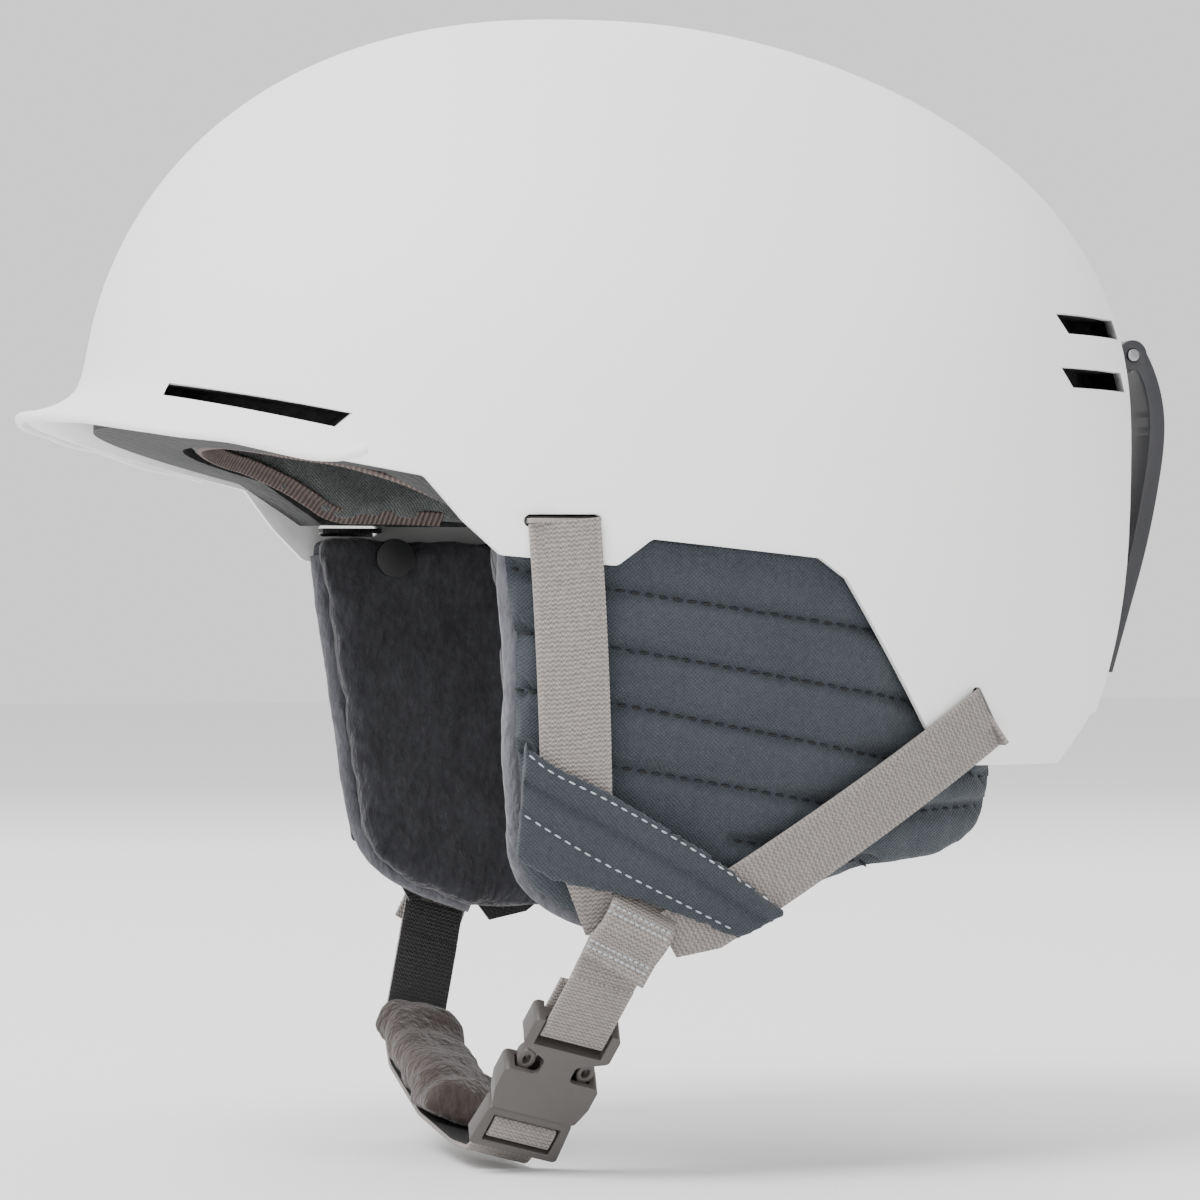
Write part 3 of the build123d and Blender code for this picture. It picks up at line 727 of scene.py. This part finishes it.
@dataclass
class Pad:
    """A padded piece shaped from the CAD node of the same size."""

    node: str
    name: str
    finish: Finish
    body: Body = Body.HELMET
    voxel: float = 4 * MM
    pressure: float = 4.0
    cap: float = 2 * MM
    levels: int = 1
    fill: float = 0.6
    lumps: float = 0.4 * MM

    def build(self) -> bpy.types.Object:
        """Remeshes, inflates and smooths the pad.

        Returns:
            The finished pad.
        """
        piece = copy_of(self.node, self.name)
        modify(piece, "REMESH", mode="VOXEL", voxel_size=self.voxel)
        modify(piece, "SMOOTH", factor=0.6, iterations=3)
        settle(piece, self.pressure, self.cap)
        if self.levels:
            modify(piece, "SUBSURF", levels=self.levels, render_levels=self.levels)
        self.finish_shape(piece)
        smooth(piece, 180)
        stand_for(piece, self.node, self.finish, self.body)
        return piece

    def finish_shape(self, piece: bpy.types.Object) -> None:
        """Adds soft, uneven lumps."""

        def lump(place: Vector, _: Vector) -> float:
            """Height of the lumps at a place."""
            return (noise.noise(place * 90) + 0.6 * noise.noise(place * 260)) * self.lumps

        swell_by(piece, lump)


def map_tape(piece: bpy.types.Object, route: list[Vector], over: Vector) -> None:
    """Maps a strap in millimetres along its route and across it.

    Args:
        piece: the strap.
        route: the places that its middle passes.
        over: unit vector across the strap.
    """
    step = 0.5 * MM
    spaced = path_points(route, step)
    tree = KDTree(len(spaced))
    for number, place in enumerate(spaced):
        tree.insert(place, number)
    tree.balance()
    mesh = piece.data
    layer = mesh.uv_layers.get("UVMap") or mesh.uv_layers.new(name="UVMap")
    for loop in mesh.loops:
        place = mesh.vertices[loop.vertex_index].co
        _, number, _ = tree.find(place)
        across = (place - spaced[number]).dot(over)
        layer.data[loop.index].uv = (number * step / MM, across / MM + 8.0)


class SurfaceOf:
    """The outermost surface of some meshes, looked at along X from one side."""

    def __init__(self, side: Side, *meshes: bpy.types.Mesh) -> None:
        """Builds one search tree for each mesh."""
        self.side = side
        self.trees = [tree_of(mesh) for mesh in meshes]

    def at(self, y: float, z: float) -> tuple[Vector, Vector] | None:
        """Place and outward normal over a point of the side view.

        Args:
            y: place along the helmet.
            z: height.

        Returns:
            The place and the normal, or None where there is nothing.
        """
        sign, best = self.side.value, None
        start, inward = Vector((CLEAR_OF_HELMET * sign, y, z)), Vector((-sign, 0, 0))
        for tree in self.trees:
            hit, normal, _, _ = tree.ray_cast(start, inward)
            if hit is None or hit.x * sign < 0 or (best and best[0].x * sign > hit.x * sign):
                continue
            best = (hit, normal if normal.x * sign > 0 else -normal)
        return best

    def sew(
        self, name: str, lines: list[list[tuple[float, float]]], pitch: float, length: float,
        radius: float, sink: float,
    ) -> bpy.types.Object:
        """Lays stitches along lines of the side view.

        Args:
            name: the piece's name.
            lines: polylines in millimetres.
            pitch: spacing of the stitches.
            length: length of one stitch.
            radius: radius of its thread.
            sink: depth of the thread's middle under the surface.

        Returns:
            The stitches.
        """
        spots = []
        for line in lines:
            flat = path_points([Vector((0, y * MM, z * MM)) for y, z in line], pitch)
            for before, after in zip(flat, flat[1:]):
                found = self.at(*((before + after) / 2).yz)
                if found:
                    place, normal = found
                    run = after - before
                    run = (run - normal * run.dot(normal)).normalized()
                    spots.append((place - normal * sink, run, normal))
        return stitches(name, spots, length, radius)


# Sub-assemblies
@dataclass
class HardPiece:
    """A rigid piece that keeps its CAD shape, with softened edges."""

    node: str
    coat: Finish
    body: Body = Body.HELMET
    edge: float = 0.35 * MM
    angle: float = 35.0
    flat: bool = True

    def build(self) -> bpy.types.Object:
        """Copies, softens and dresses the piece.

        Returns:
            The finished piece.
        """
        piece = copy_of(self.node, f"{self.node}_skin")
        if self.flat:
            edit_all(piece, bpy.ops.mesh.dissolve_limited, angle_limit=SAME_PLANE)
        if self.edge:
            modify(
                piece, "BEVEL", width=self.edge, segments=2, limit_method="ANGLE",
                angle_limit=math.radians(40),
            )
        smooth(piece, self.angle)
        return stand_for(piece, self.node, self.coat, self.body)


def add_trim(piece: bpy.types.Object, coat: Finish) -> None:
    """Dresses a small sewn or moulded extra and gives it to the helmet."""
    dress(piece, coat)
    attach(piece, Body.HELMET.value)
    LOG.info("%s: %d faces", piece.name, len(piece.data.polygons))


def near_line(y: float, z: float, line: list[tuple[float, float]]) -> float:
    """Distance from a place in the side view to a polyline, all in millimetres.

    Args:
        y: place along the helmet.
        z: height.
        line: the corners of the polyline.

    Returns:
        The shortest distance.
    """
    best = 1e9
    for (y0, z0), (y1, z1) in zip(line, line[1:]):
        dy, dz = y1 - y0, z1 - z0
        t = ((y - y0) * dy + (z - z0) * dz) / (dy * dy + dz * dz)
        t = min(1.0, max(0.0, t))
        best = min(best, math.hypot(y - y0 - t * dy, z - z0 - t * dz))
    return best


QUILTING = [
    [(-50, -2.5), (-42, -4.5), (-25, -7.9), (41, -17.6), (62, -21)],
    [(-50, -16.5), (-42, -18.4), (-22.5, -21.7), (48.6, -33.8), (60, -36)],
    [(-48, -30.5), (-42, -31.6), (-23.5, -34.5), (45, -47.7), (76, -53)],
    [(-46, -45), (-23.5, -49), (28, -58), (46, -61.5)],
    [(6, -66.5), (24, -69.5), (44, -73.2)],
    [(46, -61.5), (64, -60.3), (76, -60)],
]


@dataclass
class QuiltedPad(Pad):
    """The ear pad's canvas face with sewn channels."""

    depth: float = 2.6 * MM
    half_channel: float = 2.0

    def finish_shape(self, piece: bpy.types.Object) -> None:
        """Presses the channels in and puckers the cloth beside them."""
        sign = 1 if self.name.endswith("left") else -1

        def move(place: Vector, normal: Vector) -> float:
            """Swell of the cloth at a place, less the pressed channels."""
            y, z = place.y / MM, place.z / MM
            swell = noise.noise(Vector((y * 0.16, z * 0.10, sign))) * 0.5
            if normal.x * sign <= OUTER_FACE:
                return swell * 0.4 * MM
            gap = min(near_line(y, z, line) for line in QUILTING)
            press = math.exp(-((gap / self.half_channel) ** 2))
            pucker = noise.noise(Vector((y * 0.42, z * 0.12, 7 * sign))) * math.exp(-gap / 4.0)
            return (swell + pucker * 0.8) * MM * (1 - press * 0.6) - self.depth * press

        swell_by(piece, move)


@dataclass
class EarPad:
    """One ear pad: quilted canvas, fleece lining, strap sleeve and piping."""

    side: Side
    piping_radius: float = 2.3 * MM
    piping_route: list = field(
        default_factory=lambda: [
            (-50.5, 1), (-49.5, -12), (-47.5, -28), (-46.5, -44), (-45, -58), (-43, -71),
            (-38, -79), (-28, -85), (-14, -90),
        ]
    )

    def build(self) -> None:
        """Makes every piece of the pad."""
        word = self.side.word
        canvas = QuiltedPad(f"ear_canvas_{word}", f"quilted_canvas_{word}", CANVAS_SLATE,
                            voxel=2.6 * MM, pressure=3.0, cap=1.6 * MM).build()
        Pad(f"ear_fleece_{word}", f"fleece_lining_{word}", FLEECE_CHARCOAL, voxel=2.4 * MM,
            pressure=3.0, cap=1.2 * MM, lumps=0.7 * MM).build()
        sleeve = SleevePad(f"ear_sleeve_{word}", f"strap_sleeve_{word}", CANVAS_SLATE,
                           voxel=1.3 * MM, pressure=2.0, cap=0.5 * MM, levels=0,
                           lumps=0.15 * MM).build()
        self.add_piping(canvas)
        self.add_stitches(canvas, sleeve)

    def add_piping(self, canvas: bpy.types.Object) -> None:
        """Adds the soft light cord along the pad's front and lower edge."""
        surface = SurfaceOf(self.side, canvas.data)
        sign = self.side.value
        route = []
        for y, z in self.piping_route:
            found = surface.at((y + 5) * MM, (z + (3 if z < -80 else 0)) * MM)
            x = found[0].x if found else sign * USUAL_SIDE
            route.append(Vector((x - sign * 7.0 * MM, (y + 0.4) * MM, (z + 0.6) * MM)))
        cord = tube(f"edge_piping_{self.side.word}", route, self.piping_radius)
        for vertex in cord.data.vertices:
            vertex.co += vertex.normal * (noise.noise(vertex.co * 300) * 0.25 * MM)
        add_trim(cord, FLEECE_SILVER)

    def add_stitches(self, canvas: bpy.types.Object, sleeve: bpy.types.Object) -> None:
        """Sews the channels and the two rows of the strap sleeve."""
        word = self.side.word
        dark = SurfaceOf(self.side, canvas.data).sew(
            f"channel_stitches_{word}", QUILTING, 3.4 * MM, 2.4 * MM, 0.38 * MM, -0.15 * MM
        )
        add_trim(dark, THREAD_DARK)
        light = SurfaceOf(self.side, sleeve.data).sew(
            f"sleeve_stitches_{word}", SLEEVE_ROWS, 2.8 * MM, 1.9 * MM, 0.28 * MM, 0.0
        )
        add_trim(light, THREAD_LIGHT)


SLEEVE_ROWS = [
    [(-46, -45.6), (-40, -50.2), (-27, -56.6), (-7, -67.6), (17, -82.4)],
    [(-46, -59.8), (-27, -71.2), (6, -87.6)],
]
SLEEVE_GROOVE = [(-46, -53), (-27, -63.2), (-5, -75), (13, -85.6)]


@dataclass
class SleevePad(Pad):
    """The flat sleeve that the straps run under."""

    def finish_shape(self, piece: bpy.types.Object) -> None:
        """Presses the stitch rows and the middle groove, and trims the front end."""
        sign = 1 if self.name.endswith("left") else -1

        def press(place: Vector, normal: Vector) -> float:
            """Depth of the seams and the groove at a place, below zero."""
            if normal.x * sign <= OUTER_FACE:
                return 0.0
            y, z = place.y / MM, place.z / MM
            rows = min(near_line(y, z, row) for row in SLEEVE_ROWS)
            middle = near_line(y, z, SLEEVE_GROOVE)
            seam = 0.7 * math.exp(-((rows / 1.1) ** 2))
            return -(seam + 1.5 * math.exp(-((middle / 1.3) ** 2))) * MM

        swell_by(piece, press)
        front = -0.0462 if sign > 0 else -0.0420
        for vertex in piece.data.vertices:
            vertex.co.y = max(vertex.co.y, front + 0.08 * (vertex.co.y - front))


def trim_beyond(piece: bpy.types.Object, place: Vector, out: Vector) -> None:
    """Cuts off all of a piece beyond a plane and closes the cut.

    Args:
        piece: the piece to trim.
        place: a point of the plane.
        out: direction of what is cut off.
    """
    edit_all(
        piece, bpy.ops.mesh.bisect, plane_co=place, plane_no=out, use_fill=True, clear_outer=True
    )


def darken_inside(strap: bpy.types.Object, middle: Vector | None = None) -> None:
    """Gives the face of a strap that lies on the skin its dark weave.

    Args:
        strap: the strap.
        middle: where the wearer is, or None for the helmet's middle plane.
    """
    strap.data.materials.append(WEB_DARK.material())
    for face in strap.data.polygons:
        wearer = middle or Vector((0.0, face.center.y, face.center.z))
        if face.normal.dot((wearer - face.center).normalized()) > 0.3:
            face.material_index = 1


@dataclass
class Strap:
    """A strap that keeps its CAD route, mapped for its weave."""

    node: str
    route: list[Vector]
    over: Vector
    body: Body = Body.HELMET
    coat: Finish = WEB_GREY
    trims: list[tuple[Vector, Vector]] = field(default_factory=list)

    def build(self) -> bpy.types.Object:
        """Copies the strap and maps it.

        Returns:
            The finished strap.
        """
        piece = copy_of(self.node, f"{self.node}_webbing")
        for place, out in self.trims:
            trim_beyond(piece, place, out)
        modify(piece, "BEVEL", width=0.3 * MM, segments=2, limit_method="ANGLE",
               angle_limit=math.radians(50))
        map_tape(piece, self.route, self.over)
        smooth(piece, 40)
        return stand_for(piece, self.node, self.coat, self.body)


def loop_place(run: float, drop: float) -> Vector:
    """Place in the chin loop's plane, in metres, from millimetres."""
    y = YOKE[0] + drop * math.sin(LOOP_TILT)
    z = YOKE[1] + drop * math.cos(LOOP_TILT)
    return Vector((run * MM, y * MM, z * MM))


LOOP_ACROSS = Vector((0.0, math.cos(LOOP_TILT), -math.sin(LOOP_TILT)))
RING = (66.0, -13.5)
DIP = math.radians(50.0)


def buckle_place(run: float, off: float) -> Vector:
    """Place in the chin loop's plane along the buckle and away from its middle."""
    return loop_place(
        RING[0] - run * math.cos(DIP) + off * math.sin(DIP),
        RING[1] - run * math.sin(DIP) - off * math.cos(DIP),
    )


@dataclass
class ChinLoop:
    """Short strap, chin webbing, fleece pad and buckle."""

    def build(self) -> None:
        """Makes every piece below the yokes."""
        short = [buckle_place(-18, 2.6), buckle_place(5.6, 2.6), buckle_place(7, 0),
                 buckle_place(5.6, -2.6), buckle_place(-12, -2.6)]
        Strap("short_strap", short, LOOP_ACROSS, Body.LOOP).build()
        long = [loop_place(-80, -2), loop_place(-73, -27), loop_place(-58, -36.5),
                loop_place(-20, -46), loop_place(14, -50), buckle_place(51.5, -4.4),
                buckle_place(40.4, -4.2), buckle_place(40, 2.3), buckle_place(34.5, 2.3),
                buckle_place(34.5, -2.4)]
        chin = Strap("chin_webbing", long, LOOP_ACROSS, Body.LOOP).build()
        darken_inside(chin, loop_place(0, -10))
        ChinPad("chin_pad", "chin_fleece_sleeve", FLEECE_TAUPE, Body.LOOP,
                pressure=4.5, cap=2.4 * MM, lumps=1.2 * MM).build()
        for node, body in (
            ("buckle_receptacle", Body.LOOP), ("buckle_insert", Body.LOOP),
            ("buckle_arm_rear", Body.ARM_REAR), ("buckle_arm_front", Body.ARM_FRONT),
        ):
            HardPiece(node, BUCKLE_GREY, body, edge=0.3 * MM).build()


@dataclass
class ChinPad(Pad):
    """The gathered fleece sleeve on the chin webbing."""

    def finish_shape(self, piece: bpy.types.Object) -> None:
        """Crumples the sleeve in cross folds and soft lumps."""

        def crumple(place: Vector, _: Vector) -> float:
            """Height of the folds and lumps at a place."""
            fold = math.sin(place.x * 520 + 3 * noise.noise(place * 60))
            soft = noise.noise(place * 110) + 0.5 * noise.noise(place * 300)
            return (fold * 0.45 + soft) * self.lumps * 0.8

        swell_by(piece, crumple)


@dataclass
class Shell:
    """Outer shell, impact liner and comfort pads."""

    def build(self) -> None:
        """Makes the shell and all that lines it."""
        shell = HardPiece("outer_shell", SHELL_WHITE, edge=0.7 * MM, angle=30, flat=False).build()
        self.roll_brim(shell)
        HardPiece("impact_liner", FOAM_BLACK, edge=0.8 * MM, angle=30, flat=False).build()
        for node, body in (
            ("brow_pad", Body.HELMET), ("side_pad_left", Body.HELMET),
            ("side_pad_right", Body.HELMET), ("crown_pad", Body.HELMET),
            ("nape_pad", Body.CRADLE),
        ):
            cushion = Pad(
                node, f"{node}_cushion", PAD_FABRIC, body, cap=1.5 * MM, voxel=2.6 * MM
            ).build()
            if node == "brow_pad":
                self.bind_edge(cushion)

    def roll_brim(self, shell: bpy.types.Object) -> None:
        """Adds the small rolled lip under the brim's edge.

        Args:
            shell: the finished shell.
        """
        outer: dict[int, Vector] = {}
        for vertex in shell.data.vertices:
            place = vertex.co
            if place.y > -0.075 or place.z > 0.050:
                continue
            slot = round(math.degrees(math.atan2(place.x, -place.y)) / 3)
            reach = math.hypot(place.x, place.y)
            if slot not in outer or reach > math.hypot(outer[slot].x, outer[slot].y):
                outer[slot] = place.copy()
        places = [outer[slot] for slot in sorted(outer)][1:-1]
        route = [
            (places[max(0, i - 1)] + p * 2 + places[min(len(places) - 1, i + 1)]) / 4
            for i, p in enumerate(places)
        ]
        lip = tube("brim_lip", [p * 0.9955 for p in route], 1.35 * MM)
        add_trim(lip, SHELL_WHITE)

    def bind_edge(self, cushion: bpy.types.Object) -> None:
        """Sews a ribbed tape along the cushion's lower edge.

        Args:
            cushion: the curved brow cushion.
        """
        lowest: dict[int, Vector] = {}
        for vertex in cushion.data.vertices:
            place = vertex.co
            slot = round(math.degrees(math.atan2(place.x, -place.y)) / 5)
            if slot not in lowest or place.z < lowest[slot].z:
                lowest[slot] = place.copy()
        places = [lowest[slot] for slot in sorted(lowest)][1:-1]
        smoothed = [
            (places[max(0, i - 1)] + p + places[min(len(places) - 1, i + 1)]) / 3
            for i, p in enumerate(places)
        ]
        inward = [Vector((-p.x, -p.y, -0.06)).normalized() for p in smoothed]
        route = [p + n * (1.4 * MM) + Vector((0, 0, 1.6 * MM)) for p, n in zip(smoothed, inward)]
        tape = Ribbon("brow_binding", route, inward, width=4.6 * MM, thickness=1.6 * MM,
                      step=1.5 * MM, ripple=0.3 * MM).build()
        add_trim(tape, BINDING_BROWN)


@dataclass
class Fittings:
    """Straps at the shell, anchors, snaps, fit cradle and goggle retainer."""

    plate_width: float = 25 * MM
    plate_height: float = 17 * MM
    plate_middle: float = 50 * MM

    def build(self) -> None:
        """Makes the fittings of the helmet body and its moving parts."""
        for side in Side:
            self.build_side(side)
        for node, body, edge in (
            ("strap_anchors", Body.HELMET, 0.4), ("ear_snaps", Body.HELMET, 0.4),
            ("cradle_guides", Body.HELMET, 0.3), ("fit_cradle", Body.CRADLE, 0.4),
        ):
            HardPiece(node, PLASTIC_BLACK, body, edge=edge * MM, flat=False).build()
        bracket = HardPiece("goggle_bracket", PLASTIC_DARK, edge=0.0, flat=False).build()
        trim_beyond(bracket, Vector((0, 0, BRACKET_FOOT)), Vector((0, 0, -1)))
        self.build_plate()
        HardPiece("goggle_retainer", PLASTIC_DARK, Body.RETAINER, edge=0.5 * MM).build()
        HardPiece("retainer_catch", PLASTIC_DARK, edge=0.3 * MM).build()
        HardPiece("hinge_pin", PIN_STEEL, edge=0.3 * MM).build()

    def build_plate(self) -> None:
        """Lays the bracket's thin plate on the curved back of the shell."""
        back = tree_of(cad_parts["outer_shell"].data)
        bpy.ops.mesh.primitive_grid_add(x_subdivisions=20, y_subdivisions=14, size=1.0)
        plate = bpy.context.object
        plate.name = "bracket_plate"
        for vertex in plate.data.vertices:
            x = vertex.co.x * self.plate_width
            z = self.plate_middle + vertex.co.y * self.plate_height
            hit = back.ray_cast(Vector((x, CLEAR_OF_HELMET, z)), Vector((0, -1, 0)))[0]
            vertex.co = Vector((x, hit.y + 0.35 * MM, z))
        modify(plate, "SOLIDIFY", thickness=0.5 * MM, offset=0.0)
        modify(plate, "BEVEL", width=0.15 * MM, segments=1, limit_method="ANGLE", angle_limit=1.0)
        smooth(plate, 40)
        edit_all(plate, bpy.ops.mesh.normals_make_consistent, inside=False)
        add_trim(plate, PLASTIC_DARK)

    def build_side(self, side: Side) -> None:
        """Makes the two upper straps and the sewn block of one side."""
        word = side.word
        x = side.value * 0.09
        for name, top, low, cut, out in (
            ("front", (-39.7, 8.3), (-30.0, -89.0), (-0.0350, -0.0735), (-0.907, -0.42)),
            ("rear", (71.1, -37.9), (-8.0, -91.0), (-0.0134, -0.0958), (0.197, -0.979)),
        ):
            ends = [Vector((x, y * MM, z * MM)) for y, z in (top, low)]
            run = (ends[1] - ends[0]).normalized()
            over = Vector((0, -run.z, run.y))
            middle = [ends[0], ends[0].lerp(ends[1], 0.5), ends[1]]
            trims = [(Vector((0, *cut)), Vector((0, *out)))]
            strap = Strap(f"{name}_strap_{word}", middle, over, trims=trims).build()
            darken_inside(strap)
        block = self.build_block(side)
        rows = [
            [(-27.2, -79.6), (-9.6, -88.4)], [(-28.2, -81.0), (-10.6, -89.8)],
            [(-31.6, -88.0), (-14.0, -96.6)], [(-32.2, -89.4), (-14.8, -98.0)],
        ]
        tacks = SurfaceOf(side, block.data).sew(
            f"bar_tacks_{word}", rows, 1.5 * MM, 1.2 * MM, 0.36 * MM, 0.0
        )
        add_trim(tacks, THREAD_LIGHT)

    def build_block(self, side: Side) -> bpy.types.Object:
        """Lays the loop's webbing over both straps and joins it to the chin loop.

        Args:
            side: the side of the helmet.

        Returns:
            The sewn block.
        """
        sign, word = side.value, side.word
        nodes = (f"front_strap_{word}", f"rear_strap_{word}", f"yoke_block_{word}")
        straps = SurfaceOf(side, *(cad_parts[node].data for node in nodes))
        places = [(-13.5, -79.5), (-17.0, -86.0), (-20.5, -92.5), (-23.0, -97.0)]
        route = []
        for y, z in places:
            found = straps.at(y * MM, max(z, BLOCK_LOWEST) * MM)
            x = found[0].x if found else sign * USUAL_SIDE
            route.append(Vector((x + sign * 0.9 * MM, y * MM, z * MM)))
        facing = [Vector((sign, 0, 0))] * 2
        piece = Ribbon(f"sewn_block_{word}", route, facing, width=17 * MM,
                       thickness=1.8 * MM, ripple=0.35 * MM).build()
        stand_for(piece, f"yoke_block_{word}", WEB_GREY, Body.HELMET)
        self.build_link(side, route[-1])
        return piece

    def build_link(self, side: Side, top: Vector) -> None:
        """Joins the sewn block to the chin loop with a length of webbing.

        Args:
            side: the side of the helmet.
            top: the block's lower end.
        """
        sign, word = side.value, side.word
        low = buckle_place(-12.5, 2.6) if side is Side.LEFT else loop_place(-78.3, -8.5)
        above = top + Vector((-sign * 0.8 * MM, 3.0 * MM, 7.0 * MM))
        middle = above.lerp(low, 0.55)
        facing = [Vector((sign, 0, 0)), (low - loop_place(0, -10)).normalized()]
        piece = Ribbon(f"yoke_link_{word}", [above, middle, low], facing,
                       thickness=1.25 * MM, step=1.2 * MM).build()
        dress(piece, WEB_GREY)
        if side is Side.RIGHT:
            darken_inside(piece, loop_place(0, -10))
        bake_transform(piece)


@dataclass
class Studio:
    """Pale floor, soft lights and the camera."""

    eye: tuple = (1.3388, -0.4093, -0.010)
    aim: tuple = (0.0, 0.0, -0.010)
    lens: float = 168.0

    def build(self) -> None:
        """Adds everything that isn't the helmet."""
        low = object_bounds()[0][2] - 1 * MM
        bpy.ops.mesh.primitive_plane_add(size=12.0, location=(0, 0, low))
        floor = bpy.context.object
        floor.name = "studio_floor"
        ground = Shader("studio_pale")
        ground.feed("Base Color", (0.9, 0.9, 0.9, 1.0))
        ground.feed("Roughness", 0.9)
        floor.data.materials.append(ground.material)
        made = [floor]
        for name, spot, size, power in (
            ("key", (0.9, -1.3, 2.0), 1.3, 84.0),
            ("fill", (2.0, -0.6, 0.1), 1.6, 16.0),
            ("back", (-1.5, 0.2, 1.4), 1.6, 24.0),
        ):
            bpy.ops.object.light_add(type="AREA", location=spot)
            lamp = bpy.context.object
            lamp.name = f"studio_{name}"
            lamp.data.size = size
            lamp.data.energy = power
            lamp.rotation_euler = Vector(spot).to_track_quat("Z", "Y").to_euler()
            made.append(lamp)
        world = bpy.context.scene.world or bpy.data.worlds.new("studio")
        bpy.context.scene.world = world
        world.use_nodes = True
        sky = world.node_tree.nodes["Background"].inputs
        sky[0].default_value = (1.0, 1.0, 1.0, 1.0)
        sky[1].default_value = 1.15
        bpy.ops.object.camera_add(location=self.eye)
        camera = bpy.context.object
        line = Vector(self.eye) - Vector(self.aim)
        camera.rotation_euler = line.to_track_quat("Z", "Y").to_euler()
        camera.data.lens = self.lens
        camera.data.sensor_width = 36.0
        bpy.context.scene.camera = camera
        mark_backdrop(*made)


def main() -> None:
    """Builds the helmet in order."""
    logging.basicConfig(level=logging.INFO, format="%(message)s")
    Shell().build()
    for side in Side:
        EarPad(side).build()
    Fittings().build()
    ChinLoop().build()
    Studio().build()


if __name__ == "__main__":
    main()
